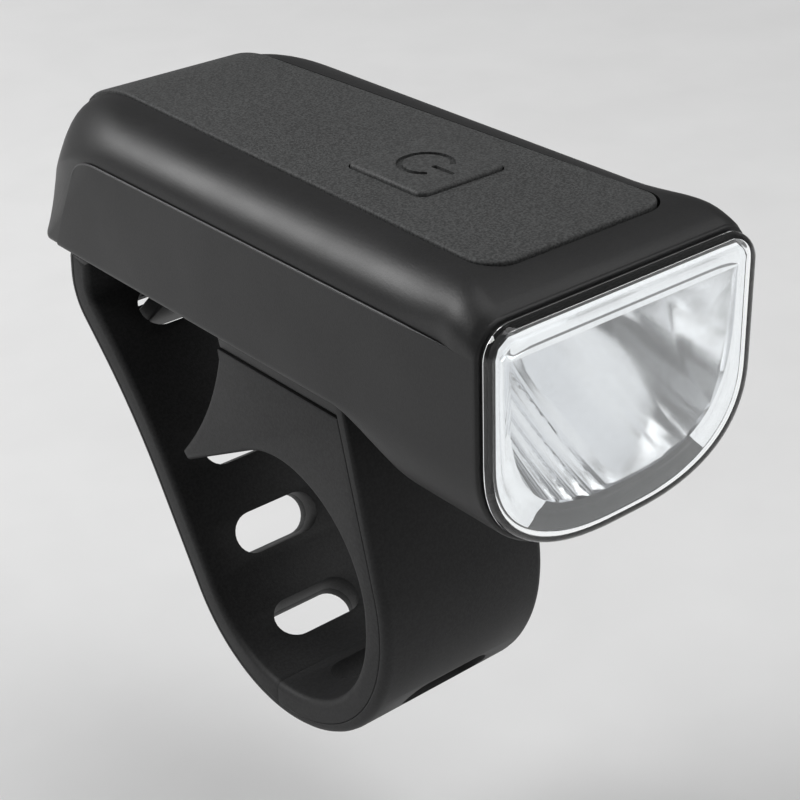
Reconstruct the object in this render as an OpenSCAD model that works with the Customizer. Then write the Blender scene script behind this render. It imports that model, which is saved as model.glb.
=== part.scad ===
// Compact bicycle headlight that straps to a handlebar.
// Millimetres, +Z up, the lens faces -Y. The origin lies on the handlebar's axis, midway along the saddle.

/* [Handlebar] */
// Diameter of the handlebar that the saddle fits
bar_d = 31.8; // [25.4:0.1:35]
// Radial clearance between the saddle and the bar
bar_fit = 0.1; // [0.05:0.05:0.2]

/* [Housing] */
// Width across the side panels
body_w = 40; // [39:0.5:46]
// Length from the front edge to the rear end
body_l = 90; // [88:1:104]
// Height from the belly to the top
body_h = 21; // [21:0.5:26]
// Distance from the bar's axis forward to the front edge
reach = 45.4; // [44:0.2:47]
// Shell wall
wall = 1.8; // [1.4:0.1:2]
// Depth of the nose below the belly
nose_depth = 11.2; // [9:0.2:13]
// Length of the nose at its full depth
nose_l = 14; // [12:0.5:15]
// Length over which the nose rises to the belly
nose_blend = 10.5; // [9:0.5:11]
// Height of the rounded lower corners at the nose
nose_round = 14.2; // [11:0.2:16]
// Roundness of the lower corners, 2 for an ellipse
nose_power = 2.4; // [2:0.1:3]
// Radius of the belly's side edges
belly_round = 1.2; // [0.6:0.1:2]
// Width of the soft rounding along the top edges
top_round_x = 7.5; // [6:0.5:9]
// Height of the soft rounding along the top edges
top_round_z = 6.2; // [5:0.2:7]
// Radius of the top corners at the front edge
front_round = 4; // [3:0.5:5]
// Drop of the top toward the front edge
front_drop = 2.2; // [1.5:0.1:3]
// Length of that drop
front_roll = 7; // [5:0.5:9]
// Length of the rounding over the rear end
rear_roll_l = 14; // [12:0.5:16]
// Height of the rounding over the rear end
rear_roll_h = 8; // [7:0.5:9]
// Radius of the other rear edges
rear_edge = 2; // [1:0.25:3]
// Lean of the rear corners, in degrees
rear_lean = 28; // [22:1:32]
// Half-width of the flat middle of the rear end
rear_flat = 5; // [3:0.5:7]
// Height of the seam above the belly
seam_h = 15; // [14.6:0.1:15.5]
// Distance from the seam's rear end to the rear end of the belly
seam_rear = 5.5; // [5:0.25:6]
// How far the lower shell stands proud of the upper one
seam_step = 0.3; // [0.1:0.05:0.5]
// Width of the seal in the seam
seal_w = 0.9; // [0.7:0.05:1]
// Distance of the seal from the wall's inner face
seal_inset = 0.4; // [0.3:0.05:0.5]
// Gap at the seam
seam_gap = 0.1; // [0.05:0.05:0.2]

/* [Lens and optics] */
// How far the lens stands in front of the housing
lens_proud = 2.6; // [2:0.1:3.5]
// Inset of the lens outline from the housing's outline
lens_inset = 0.5; // [0.3:0.1:1]
// Thickness of the lens wall
lens_t = 1.6; // [1.2:0.1:2]
// Clearance round the lens skirt
lens_fit = 0.15; // [0.1:0.05:0.25]
// Depth of the lens skirt inside the housing
lens_skirt = 2.2; // [1.5:0.1:3]
// Thickness of the gasket behind the lens
gasket_t = 0.4; // [0.3:0.1:0.6]
// Thickness of the reflector
mirror_t = 1.2; // [1:0.1:1.6]
// Height of the reflector's roof above the belly
roof_h = 12.6; // [12:0.2:13]
// Focal length of the reflector
focal = 5.2; // [4.8:0.1:5.6]
// Depth from the front edge to the reflector's vertex
mirror_depth = 20.4; // [19.5:0.1:21]
// Clearance round the reflector's flange
mirror_fit = 0.3; // [0.2:0.05:0.4]
// Height of the plain step below the reflector's lower lip
lip_h = 0.4; // [0.3:0.1:2]
// Depth of the reflector's flutes
flute_depth = 0.25; // [0.1:0.05:0.4]
// Number of flutes, counted along the bowl
flutes = 9; // [6:1:12]
// Width of the emitter
led_w = 3.4; // [2.5:0.1:4]
// Clearance round the emitter
led_clear = 0.8; // [0.5:0.1:1]
// Width of the emitter's board
led_board_w = 20; // [18:0.5:22]
// Length of the emitter's board
led_board_l = 13; // [12:0.25:13.5]
// Thickness of the emitter's board
led_board_t = 1.2; // [1:0.1:1.5]
// Height of the heat sink
sink_h = 2.2; // [1.8:0.1:2.4]
// Number of fins on the heat sink
fins = 9; // [5:2:11]
// Thickness of a fin
fin_t = 0.8; // [0.6:0.1:1]

/* [Top strip and button] */
// Thickness of the rubber strip
pad_t = 1.6; // [1.2:0.1:1.8]
// How far the strip stands proud
pad_proud = 0.25; // [0.1:0.05:0.5]
// Width of the strip at its front
pad_w = 26.4; // [24:0.2:28]
// Width of the strip at its rear
pad_w_rear = 21.4; // [19:0.2:23]
// Corner radius of the strip
pad_corner = 3.5; // [2:0.25:5]
// Gap round the strip
pad_gap = 0.35; // [0.2:0.05:0.5]
// Distance from the front edge to the strip
pad_start = 5.4; // [5:0.2:7]
// Width of the button
button_w = 12.7; // [11:0.1:14]
// Corner radius of the button
button_corner = 1.2; // [0.8:0.1:2]
// Length of the button
button_l = 13.4; // [12:0.1:15]
// Distance from the front edge to the button's centre
button_at = 30.9; // [29:0.1:32]
// How far the button stands proud of the strip
button_proud = 0.5; // [0.3:0.1:0.6]
// Gap round the button
button_gap = 0.2; // [0.15:0.05:0.3]
// Travel of the button
button_travel = 0.6; // [0.4:0.1:0.7]
// Diameter of the switch's plunger
stem_d = 3; // [2.5:0.1:3.5]
// Width of the switch
switch_w = 6; // [5:0.2:7]
// Thickness of the switch's floor and the radius of its edges
switch_edge = 0.4; // [0.3:0.05:0.5]
// Height of the switch above the circuit board
switch_h = 2; // [1.6:0.1:2.2]

/* [Charging port and flap] */
// Width of the port's shell
port_w = 9; // [8.9:0.05:9.2]
// Height of the port's shell
port_h = 3.3; // [3.2:0.05:3.4]
// Length of the port's shell
port_l = 7.3; // [6.8:0.1:8]
// Wall of the port's shell
port_wall = 0.3; // [0.2:0.05:0.4]
// Clearance round the port's opening in the housing
port_clear = 0.4; // [0.3:0.05:0.6]
// Angle on the rear rounding where the flap starts
flap_angle = 35; // [30:1:40]
// Height of the flap's lower end above the belly
flap_end = 5.5; // [4.5:0.25:6]
// Depth of the plug on the flap
plug_l = 1.2; // [0.8:0.1:1.4]

/* [Battery and board] */
// Width of the battery
battery_w = 30; // [26:0.5:31]
// Distance from the reflector's back to the battery
battery_gap = 10.8; // [9.5:0.1:11.5]
// Distance from the battery to the rear end
battery_clear = 13.6; // [13:0.2:16]
// Thickness of the battery
battery_h = 8; // [7:0.25:8.2]
// Thickness of the floor below the battery
floor_t = 3.4; // [3:0.1:3.6]
// Inset of that floor from the battery's sides
floor_inset = 2; // [1:0.25:3]
// Width of the circuit board
board_w = 24; // [22:0.5:25]
// Thickness of the circuit board
board_t = 1.2; // [1:0.1:1.6]
// Height of the circuit board above the belly
board_h = 13.4; // [13.2:0.1:13.6]
// Distance from the reflector's back to the circuit board
board_gap = 3; // [2.5:0.1:3.5]
// Distance from the circuit board to the port's face
board_clear = 4.7; // [4.4:0.1:5]
// Diameter of the wires
wire_d = 1.2; // [0.8:0.1:1.5]
// Distance of the battery's leads from the middle
lead_x = 4; // [3:0.25:6]
// Room for those leads in front of the battery
lead_room = 2.4; // [2.2:0.1:2.8]
// Clearance between stacked pieces
fit_gap = 0.1; // [0.05:0.05:0.2]

/* [Mount base] */
// Height from the saddle's top to the belly
base_h = 7.4; // [6:0.2:10]
// Width of the base's arm
arm_w = 18; // [16:0.5:22]
// Thickness of the base's arm
arm_t = 2.4; // [2:0.1:3]
// Width of the hook
hook_w = 11; // [8:0.5:12]
// Thickness of the hook's peg
peg_t = 2.6; // [2:0.1:3]
// Height of the lip at the peg's end
lip_t = 0.9; // [0.5:0.1:1.2]

/* [Saddle and strap] */
// Width of the saddle and the strap
strap_w = 26.6; // [22:0.2:30]
// Height of the saddle above the bar
saddle_t = 11.5; // [9:0.5:14]
// Thickness of the whole strap
strap_t = 4.8; // [4:0.1:5.5]
// Thickness of the strap's inner layer
liner_t = 3.3; // [2.5:0.1:3.6]
// Radius inside the strap's front bend
bend_front = 20; // [19:0.25:22]
// Radius inside the strap's rear bend
bend_rear = 17; // [16:0.25:18]
// Drop from the bar's axis to the centre of the front bend
bend_drop = 1; // [0:0.25:3]
// Lean of the strap's front above the bend, in degrees
front_lean = 14; // [10:1:16]
// Rise of the strap's straight rear leg, in degrees
leg_angle = 60; // [56:1:62]
// Length of that straight leg
leg_l = 16; // [14:0.5:17]
// Radius of the leg's outward sweep
sweep_r = 90; // [70:5:120]
// Angle of that sweep, in degrees
sweep_angle = 14; // [12:1:16]
// Length of the straight piece at the hook
eye_l = 5; // [4:0.25:6]
// Radius inside the tail's upward turn
tail_r = 4; // [3:0.25:5]
// Length of the pull tab after that turn
tab_l = 3; // [2:0.25:4]
// Width of a ladder slot across the strap
slot_w = 14; // [13:0.25:16]
// Length of a ladder slot along the strap
slot_l = 6; // [5:0.25:6.4]
// Spacing of the ladder slots
slot_pitch = 13.6; // [13:0.1:14]
// Distance along the strap from its lowest point to the first slot on the tail
slot_start = 8.75; // [8:0.25:9.5]

/* [Fasteners] */
// Diameter of the screws
screw_d = 2; // [1.6:0.1:2.2]
// Diameter of the screw heads
head_d = 3.8; // [3.4:0.1:4.2]
// Height of the screw heads
head_h = 1; // [0.8:0.1:1.2]
// Diameter of the screw bosses
boss_d = 4.8; // [4.4:0.1:5]
// Distance of the bosses from the walls and edges
boss_gap = 0.3; // [0.2:0.05:0.4]
// Length of the housing's screws below the head
screw_l = 7; // [6:0.25:8]
// Depth of the pilot holes beyond the screws
pilot_l = 1; // [0.5:0.25:1.5]
// Clearance round the screws
screw_clear = 0.05; // [0.02:0.01:0.1]

/* [Hidden] */

$fn = 48;
corner_steps = 8;
blend_steps = 8;
roll_steps = 5;
face_steps = [0.85, 0.65, 0.4];
dish_steps = 30;
roof_steps = 8;
arc_step = 5;
wire_sides = 8;
eps = 0.01;
far = 200;

grip_r = bar_d / 2 + bar_fit;
saddle_top = grip_r + saddle_t;
belly_z = saddle_top + base_h;
top_z = belly_z + body_h;
front_y = -reach;
rear_y = front_y + body_l;
half_w = body_w / 2;
pad_top = top_z + pad_proud;
ceiling_z = pad_top - pad_t - wall;
seam_z = belly_z + seam_h;
board_z = belly_z + board_h;
port_z = board_z - port_h / 2;
lid_t = pad_t - pad_proud;
vertex_y = front_y + mirror_depth;
mirror_back = vertex_y + mirror_t;
battery_front = mirror_back + battery_gap;
battery_l = rear_y - battery_clear - battery_front;

function smooth(t) = let (c = min(max(t, 0), 1)) c * c * (3 - 2 * c);
function mix(a, b, t) = a + (b - a) * t;
function heading(a) = [cos(a), sin(a)];
function normal(a) = [sin(a), -cos(a)];
function arc(c, r, a0, a1) =
    let (n = max(2, ceil(abs(a1 - a0) / arc_step)))
    [for (i = [0:n]) c + r * heading(mix(a0, a1, i / n))];
function bezier(p0, p1, p2, n) =
    [for (i = [0:n]) let (t = i / n) (1 - t) * (1 - t) * p0 + 2 * t * (1 - t) * p1 + t * t * p2];
function reversed(list) = [for (i = [len(list) - 1:-1:0]) list[i]];
function mean(points) = [for (k = [0:2]) min([for (p = points) p[k]]) / 2 + max([for (p = points) p[k]]) / 2];

// A closed surface through rings of points, each ring anticlockwise as seen from the front.
module skin(rings) {
    n = len(rings[0]);
    m = len(rings);
    points = concat([for (r = rings) each r], [mean(rings[0]), mean(rings[m - 1])]);
    sides = [for (i = [0:m - 2], k = [0:n - 1])
        let (a = i * n + k, b = i * n + (k + 1) % n) each [[a, b, b + n], [a, b + n, a + n]]];
    front = [for (k = [0:n - 1]) [m * n, (k + 1) % n, k]];
    rear = [for (k = [0:n - 1]) [m * n + 1, (m - 1) * n + k, (m - 1) * n + (k + 1) % n]];
    polyhedron(points, concat(sides, front, rear));
}

// A profile drawn in Y and Z, extruded along X and centred on X = 0.
module across(w) {
    rotate([90, 0, 90]) linear_extrude(w, center = true) children();
}

// A profile drawn in X and Z, extruded from y0 to y1.
module along(y0, y1) {
    translate([0, y1, 0]) rotate([90, 0, 0]) linear_extrude(y1 - y0) children();
}

// A block with rounded upright edges, standing on z0.
module block(size, r, z0) {
    translate([0, 0, z0]) linear_extrude(size[2]) rounded(size[0], size[1], r);
}

module rounded(w, l, r) {
    square([w - 2 * r, l], center = true);
    square([w, l - 2 * r], center = true);
    for (x = [-1, 1], y = [-1, 1]) translate([x * (w / 2 - r), y * (l / 2 - r)]) circle(r);
}

module upright(x, y, z0, z1, d) {
    translate([x, y, z0]) cylinder(h = z1 - z0, d = d);
}

// Housing form

function nose(d) = 1 - smooth((d - nose_l) / nose_blend);
function top_at(d) = top_z - front_drop * pow(1 - min(max(d, 0) / front_roll, 1), 2);

// Right half of a cross-section at distance d from the front edge, from the bottom to the top.
function half_section(d, w, inset, lid, n) =
    let (
        hw = w - inset,
        zb = belly_z - nose_depth * nose(d) + inset,
        zt = top_at(d) - inset - lid,
        ab = max(mix(belly_round, w - belly_round, nose(d)) - inset, inset / 2 + eps),
        bb = max(mix(belly_round, nose_round, nose(d)) - inset, inset / 2 + eps),
        soft = smooth(d / nose_l),
        at = max(mix(front_round, top_round_x, soft) - inset, 1),
        bt = max(mix(front_round, top_round_z, soft) - inset, 1),
        e = 2 / nose_power)
    concat(
        [[0, zb]],
        [for (i = [0:n]) let (t = 90 * i / n) [hw - ab + ab * pow(sin(t), e), zb + bb - bb * pow(cos(t), e)]],
        [for (i = [0:n]) let (t = 90 * i / n) [hw - at + at * cos(t), zt - bt + bt * sin(t)]],
        [[0, zt]]);

function closed(half) = concat(half, [for (i = [len(half) - 2:-1:1]) [-half[i][0], half[i][1]]]);
function section(d, w, inset, lid, n) = closed(half_section(d, w, inset, lid, n));
function ring_at(y, outline) = [for (p = outline) [p[0], y, p[1]]];

// How far the rear end falls back at a point of the section.
function pull(p, w) =
    pow(max(abs(p[0]) - rear_flat, 0) / (w - rear_flat), 3) * (1 + max(p[1] - belly_z, 0) * tan(rear_lean));
function topness(p) = smooth((p[1] - belly_z) / body_h * 1.4 - 0.4);

// One ring of the rear rounding, at angle t.
function rear_ring(t, w, inset, lid, n) =
    [for (p = section(body_l, w, inset, lid, n))
        let (
            k = topness([p[0], p[1] + inset + lid]),
            a = mix(rear_edge, rear_roll_l, k),
            low = rear_edge / 2 * (1 - smooth((p[1] - belly_z) / body_h * 3)),
            fall = 1 - cos(t),
            q = [p[0] * (1 - rear_edge * fall / w), p[1] + (low - rear_roll_h * k) * fall])
        [q[0], rear_y - inset - lid - pull(q, w) - a * (1 - sin(t)), q[1]]];

// One ring of the rear face: the end of the rounding shrunk to s.
function face_ring(s, w, inset, lid, n) =
    [for (p = rear_ring(90, w, inset, lid, n))
        let (q = [p[0] * s, mix(port_z, p[2], s)])
        [q[0], rear_y - inset - lid - pull(q, w), q[1]]];

module housing_form(w, inset, lid, n, start) {
    stations = concat([start, front_roll / 4, front_roll / 2, front_roll, nose_l],
                      [for (i = [1:blend_steps]) nose_l + nose_blend * i / blend_steps]);
    skin(concat([for (d = stations) ring_at(front_y + d, section(d, w, inset, lid, n))],
                [for (i = [0:roll_steps]) rear_ring(90 * i / roll_steps, w, inset, lid, n)],
                [for (s = face_steps) face_ring(s, w, inset, lid, n)]));
}

module housing_skin(w) {
    housing_form(w, 0, 0, corner_steps, 0);
}

module housing_cavity() {
    housing_form(half_w - seam_step, wall, lid_t, corner_steps, -1);
}

// Side view of the lower shell's reach, grown by g.
module seam_region(g) {
    lean = tan(rear_lean);
    back = rear_y - seam_rear;
    corner = [back - seam_h * lean, seam_z];
    polygon(concat(
        [[front_y - far, belly_z - far], [back + g, belly_z - far], [back + g, belly_z]],
        bezier(corner + [3 * lean + g, -3], corner + [g, g], corner + [-5, g], 4),
        [[front_y - far, seam_z + g]]));
}

// Places of the housing's screws, and of the circuit board's screws.
boss_x = half_w - wall - boss_d / 2 - seam_step - boss_gap;
boss_front = front_y + nose_l + nose_blend + boss_d / 2 + 2 * boss_gap;
boss_rear = rear_y - seam_rear - boss_d / 2 - 5 * boss_gap;
port_y = rear_y - pad_t - wall + 2 * fit_gap;
board_front = mirror_back + board_gap;
board_rear = port_y - board_clear;
board_boss_x = board_w / 2 - boss_d / 2 - boss_gap;
board_boss_front = board_front + boss_d / 2 + 2 * fit_gap;
board_boss_rear = battery_front + battery_l + boss_d / 2 + 8 * fit_gap;

module each_housing_screw() {
    for (x = [-boss_x, boss_x], y = [boss_front, boss_rear]) translate([x, y, 0]) children();
}

module each_board_screw() {
    for (x = [-board_boss_x, board_boss_x], y = [board_boss_front, board_boss_rear])
        translate([x, y, 0]) children();
}

button_y = front_y + button_at;

// Oval outline of the charging port, grown by g, drawn in X and Z.
module port_outline(g) {
    r = port_h / 2 + g;
    translate([0, port_z]) {
        square([port_w - port_h, 2 * r], center = true);
        for (x = [-1, 1]) translate([x * (port_w - port_h) / 2, 0]) circle(r);
    }
}

// Cord that follows the seam inside the lower shell's wall: along both sides, down the rear and across the belly.
module seal_cord() {
    side = half_w - seam_step - wall + seal_inset;
    intersection() {
        across(far) difference() {
            seam_region(0);
            seam_region(-seal_w);
        }
        translate([0, front_y + nose_l, 0]) union() {
            for (x = [-side - seal_w, side]) translate([x, 0, belly_z + seal_inset]) cube([seal_w, body_l, body_h]);
            translate([-side - seal_w, 0, belly_z + seal_inset]) cube([2 * (side + seal_w), body_l, seal_w]);
        }
    }
}

module upper_housing() {
    color("#1b1c1e") difference() {
        housing_skin(half_w - seam_step);
        difference() {
            union() {
                housing_cavity();
                across(far) seam_region(seam_gap);
            }
            each_housing_screw() upright(0, 0, belly_z + wall + seam_gap, top_z, boss_d);
            each_board_screw() upright(0, 0, board_z + board_t, top_z, boss_d - 0.8);
        }
        strip_space();
        upright(0, button_y, ceiling_z - wall, pad_top, stem_d + 1);
        along(port_y - port_l, rear_y + wall) port_outline(port_clear);
        each_housing_screw() upright(0, 0, belly_z, belly_z + head_h + screw_l + pilot_l, screw_d + 2 * screw_clear);
        each_board_screw() upright(0, 0, board_z, ceiling_z - 0.4, screw_d + 2 * screw_clear);
    }
}

module lower_housing() {
    color("#232427") difference() {
        intersection() {
            union() {
                difference() {
                    housing_skin(half_w);
                    housing_cavity();
                }
                translate([0, (boss_front + boss_rear) / 2, 0])
                    block([battery_w - 2 * floor_inset, boss_rear - boss_front - 2 * boss_d, floor_t], floor_inset, belly_z);
            }
            across(far) seam_region(0);
        }
        seal_cord();
        each_housing_screw() {
            upright(0, 0, belly_z - eps, belly_z + head_h, head_d + 4 * screw_clear);
            upright(0, 0, belly_z, belly_z + far, screw_d + 4 * screw_clear);
        }
        each_mount_screw() upright(0, 0, belly_z - eps, belly_z + floor_t - 0.4, screw_d + 2 * screw_clear);
    }
}

module housing_seal() {
    color("#3a3a3a") seal_cord();
}

// Lens and optics

lens_y = front_y - lens_proud;
function front_outline(inset) = section(0, half_w, inset, 0, corner_steps);
function mouth_outline(inset) = section(0, half_w - seam_step, wall + inset, lid_t, corner_steps);

module front_lens() {
    round_r = lens_proud - gasket_t - 0.4;
    outer = [for (i = [0:4]) let (t = 90 * i / 4)
        ring_at(lens_y + round_r * (1 - sin(t)), front_outline(lens_inset + round_r * (1 - cos(t))))];
    skirt = [[-gasket_t, lens_fit], [lens_skirt, lens_fit], [lens_skirt, lens_fit + lens_t],
             [-lens_proud + 1.5 * lens_t, lens_fit + lens_t], [-lens_proud + lens_t, lens_fit + 1.5 * lens_t]];
    color("#dfe6ea", 0.5) skin(concat(
        reversed(outer),
        [ring_at(front_y - gasket_t, front_outline(lens_inset))],
        [for (s = skirt) ring_at(front_y + s[0], mouth_outline(s[1]))]));
}

module lens_gasket() {
    color("#2c2c2c") along(front_y - gasket_t, front_y) difference() {
        polygon(front_outline(lens_inset + lens_fit));
        polygon(mouth_outline(0));
    }
}

mirror_rim = front_y + lens_skirt + mirror_fit;
roof_z = belly_z + roof_h;
led_y = vertex_y - focal;

// Outline of a dish that hangs from the roof: a rounded U closed by a level top edge.
function dish(a, b, power, top) = concat(
    [for (i = [0:dish_steps]) let (t = mix(183, 357, i / dish_steps))
        [a * sign(cos(t)) * pow(abs(cos(t)), 2 / power), roof_z - b * pow(abs(sin(t)), 2 / power)]],
    [for (i = [0:roof_steps]) [a * (1 - 2 * i / roof_steps), top]]);

// Flutes that follow the rim on both lower corners.
function flute(p, u) =
    let (a = atan2(roof_z - p[1], abs(p[0])))
    flute_depth * smooth((a - 25) / 20) * smooth((85 - a) / 20) * smooth((u - 0.4) / 0.2) * sin(360 * flutes * u);

// The dish shrunk to u about the roof and pushed back onto the paraboloid.
function bowl_ring(edge, u, back, fluted) =
    [for (p = edge)
        let (
            q = [p[0] * u, p[1] < roof_z ? roof_z + (p[1] - roof_z) * u : p[1]],
            r = p[1] < roof_z ? norm(q - [0, roof_z]) : max([for (e = edge) e[0]]) * u,
            y = vertex_y - r * r / (4 * focal) + (fluted ? flute(q, u) : 0))
        [q[0], max(y, mirror_rim + mirror_t / 3) + back, q[1]]];

module reflector() {
    rim_a = half_w - seam_step - wall - mirror_fit;
    rim_b = roof_h + nose_depth - wall - mirror_fit;
    bowl_a = rim_a - mirror_t - mirror_fit;
    bowl_b = rim_b - mirror_t - lip_h;
    flange = dish(rim_a, rim_b, 3, roof_z + mirror_t);
    inner = dish(bowl_a, bowl_b, 3, roof_z);
    outer = dish(bowl_a + mirror_t, bowl_b + mirror_t, 3, roof_z + mirror_t);
    outer_steps = [0.12, 0.24, 0.38, 0.52, 0.66, 0.8, 0.9, 1];
    inner_steps = concat([0.12, 0.24, 0.36], [for (i = [ceil(1.6 * flutes):4 * flutes]) i / flutes / 4]);
    color("#c9ccd0") difference() {
        skin(concat(
            [for (u = inner_steps) bowl_ring(inner, u, 0, true)],
            [ring_at(mirror_rim, inner), ring_at(mirror_rim, flange), ring_at(mirror_rim + mirror_t, flange)],
            [for (u = reversed(outer_steps)) bowl_ring(outer, u, mirror_t, false)]));
        translate([0, led_y, roof_z]) cube([led_w + 2 * led_clear, led_w + 2 * led_clear, 4 * mirror_t], center = true);
    }
}

led_board_z = roof_z + mirror_t;

module led_emitter() {
    color("#e8d36a") {
        translate([0, led_y, led_board_z - 0.4]) cube([led_w, led_w, 0.8], center = true);
        translate([0, led_y, led_board_z - 0.8]) rotate([180, 0, 0])
            rotate_extrude() intersection() {
                circle(led_w * 0.4);
                square(led_w);
            }
    }
}

module led_board() {
    color("#d8d8d4") translate([0, led_y, 0]) block([led_board_w, led_board_l, led_board_t], led_clear, led_board_z);
}

module heat_sink() {
    base = sink_h * 0.45;
    color("#9fa3a8") translate([0, led_y, led_board_z + led_board_t]) {
        block([led_board_w + 2, led_board_l + 1, base], fin_t, 0);
        for (i = [0:fins - 1]) translate([mix(-led_board_w / 2, led_board_w / 2 - fin_t, i / (fins - 1)), 0, 0])
            translate([0, -led_board_l / 2, 0]) cube([fin_t, led_board_l, sink_h]);
    }
}

// Strip, button and flap

roll_c = [rear_y - rear_roll_l, top_z - rear_roll_h];
function roll_point(a, depth) =
    let (g = pad_proud - depth) roll_c + [(rear_roll_l + g) * cos(a), (rear_roll_h + g) * sin(a)];
function roll_arc(a0, a1, depth) =
    let (n = ceil(abs(a1 - a0) / arc_step)) [for (i = [0:n]) roll_point(mix(a0, a1, i / n), depth)];

// Side view of the strip between two depths, from its front to an angle on the rear rounding.
module strip_side(depth0, depth1, a_end, start) {
    polygon(concat([[start, pad_top - depth0]], roll_arc(90, a_end, depth0),
                   reversed(roll_arc(90, a_end, depth1)), [[start, pad_top - depth1]]));
}

// Plan of the strip, grown by g.
module strip_plan(g) {
    y0 = front_y + pad_start - g;
    y1 = rear_y + far / 10;
    taper = (pad_w - pad_w_rear) / 2 / (body_l - pad_start);
    w = pad_w / 2 + g;
    r = pad_corner + g;
    polygon(concat(arc([w - r, y0 + r], r, -90, 0), [[w - taper * (y1 - y0), y1], [-w + taper * (y1 - y0), y1]],
                   arc([r - w, y0 + r], r, 180, 270)));
}

module strip(depth0, depth1, a_end, g) {
    intersection() {
        across(far) strip_side(depth0, depth1, a_end, front_y + pad_start - 1 - g);
        translate([0, 0, belly_z]) linear_extrude(2 * body_h) strip_plan(g);
    }
}

flap_face = rear_y + pad_proud;
flap_low = belly_z + flap_end;

// Side view of the flap between two depths.
module flap_side(depth0, depth1) {
    polygon(concat(roll_arc(flap_angle, 0, depth0), [[flap_face - depth0, belly_z], [flap_face - depth1, belly_z]],
                   reversed(roll_arc(flap_angle, 0, depth1))));
}

// Rear view of the flap, grown by g.
module flap_outline(g) {
    translate([0, (roll_c[1] + flap_low) / 2]) rounded(pad_w_rear + 2 * g, roll_c[1] - flap_low + 2 * g, pad_corner);
}

module flap_plate(depth0, depth1, g) {
    intersection() {
        across(far) flap_side(depth0, depth1);
        along(rear_y - far, rear_y + far) union() {
            flap_outline(g);
            translate([-pad_w_rear / 2 - g, roll_c[1] - pad_corner]) square([pad_w_rear + 2 * g, body_h]);
        }
    }
}

// Everything that the strip and the flap need cut from the housing.
module strip_space() {
    strip(-far / 10, pad_t, flap_angle - 1, pad_gap);
    flap_plate(-wall, pad_t + seam_gap, pad_gap);
}

module button_plan(g) {
    translate([0, button_y]) rounded(button_w + 2 * g, button_l + 2 * g, button_corner + g);
}

module top_pad() {
    color("#3b3d40") difference() {
        strip(0, pad_t, flap_angle, 0);
        translate([0, 0, belly_z]) linear_extrude(far) button_plan(button_gap);
    }
}

module power_button() {
    cap_z = pad_top - pad_t + button_travel + fit_gap;
    color("#414346") translate([0, 0, cap_z])
        linear_extrude(pad_top + button_proud - cap_z) button_plan(0);
}

module switch_body() {
    color("#2a2a2c") difference() {
        translate([0, button_y, 0]) block([switch_w, switch_w, switch_h], switch_edge, board_z + board_t);
        upright(0, button_y, board_z + board_t + switch_edge, top_z, stem_d + 2 * fit_gap);
    }
}

module switch_stem() {
    low = board_z + board_t + switch_edge + button_travel + 3 * fit_gap;
    color("#8d9094") upright(0, button_y, low, pad_top - pad_t + button_travel + fit_gap, stem_d);
}

module port_flap() {
    color("#3b3d40") {
        flap_plate(0, pad_t, -0.05);
        along(flap_face - pad_t - plug_l, flap_face - pad_t + eps) port_outline(-0.45);
    }
}

// Board, battery and wires

module charging_port() {
    color("#b9bcc0") difference() {
        along(port_y - port_l, port_y) port_outline(0);
        along(port_y - port_l + 1, port_y + 1) port_outline(-port_wall);
    }
}

module main_board() {
    mid = (board_front + board_rear) / 2;
    color("#1f5a3a") difference() {
        translate([0, mid, 0]) block([board_w, board_rear - board_front, board_t], 1, board_z);
        each_board_screw() upright(0, 0, belly_z, top_z, screw_d + 4 * screw_clear);
    }
}

battery_z = belly_z + floor_t + fit_gap;

module battery_cell() {
    color("#a9b3bd") translate([0, battery_front + battery_l / 2, 0])
        block([battery_w, battery_l, battery_h], 2, battery_z);
}

module battery_foam() {
    low = battery_z + battery_h;
    color("#55585c") translate([0, battery_front + battery_l / 2, 0])
        block([board_w - 4, battery_l - 6, board_z - low], 1, low);
}

// A wire through a list of points.
module wire(points) {
    last = len(points) - 1;
    skin([for (i = [0:last])
        let (
            run = points[min(i + 1, last)] - points[max(i - 1, 0)],
            side = cross(run, [0, 0, 1]) / norm(cross(run, [0, 0, 1])),
            rise = cross(side, run) / norm(run))
        [for (k = [0:wire_sides - 1])
            let (t = 360 * k / wire_sides) points[i] + wire_d / 2 * (cos(t) * side + sin(t) * rise)]]);
}

module battery_leads() {
    color("#b03a30") for (x = [-lead_x, lead_x]) wire([
        [x, battery_front + 2 * fit_gap - wire_d / 2, battery_z + battery_h - 2 * wire_d],
        [x, battery_front - lead_room + 2 * fit_gap, battery_z + battery_h - wire_d],
        [x, battery_front - lead_room, board_z - wire_d / 2 - 2 * eps]]);
}

module led_leads() {
    z = led_board_z + led_board_t + wire_d / 2 + 2 * eps;
    side = led_board_w / 2 - wire_d;
    color("#c8a23a") for (x = [-1, 1]) wire([
        [x * side, led_y + led_board_l / 2 + wire_d, z - wire_d],
        [x * side, mirror_back + board_gap / 4, z],
        [x * (side - 2 * wire_d), board_front + board_gap / 2, board_z + board_t + wire_d / 2 + 2 * eps]]);
}

// Screws

module screw(z0, length) {
    upright(0, 0, z0, z0 + head_h, head_d);
    upright(0, 0, z0 + head_h, z0 + head_h + length, screw_d);
}

module housing_screws() {
    color("#6f7276") each_housing_screw() screw(belly_z, screw_l);
}

module board_screws() {
    color("#6f7276") each_board_screw() screw(board_z - head_h, board_t + 2.2);
}

// Path of the saddle and strap in side view

bend_c = [bend_front - grip_r, -bend_drop];
low_z = -bend_drop - bend_front;
rear_c = [bend_c[0], low_z + bend_rear];
saddle_rear = grip_r * 0.75;
saddle_tip = [grip_r + 6.2, 6.4];
tail_turn = 50;

// Y of the strap's sloping front at height z, at a depth inside the strap.
function front_line(z, d) =
    let (p = bend_c + (bend_front + d) * heading(180 - front_lean)) p[0] + (z - p[1]) * tan(front_lean);

// The strap in side view at depth d: its front bend, then its tail from the lowest point to the end.
function front_curve(d) = arc(bend_c, bend_front + d, 270, 180 - front_lean);

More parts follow.
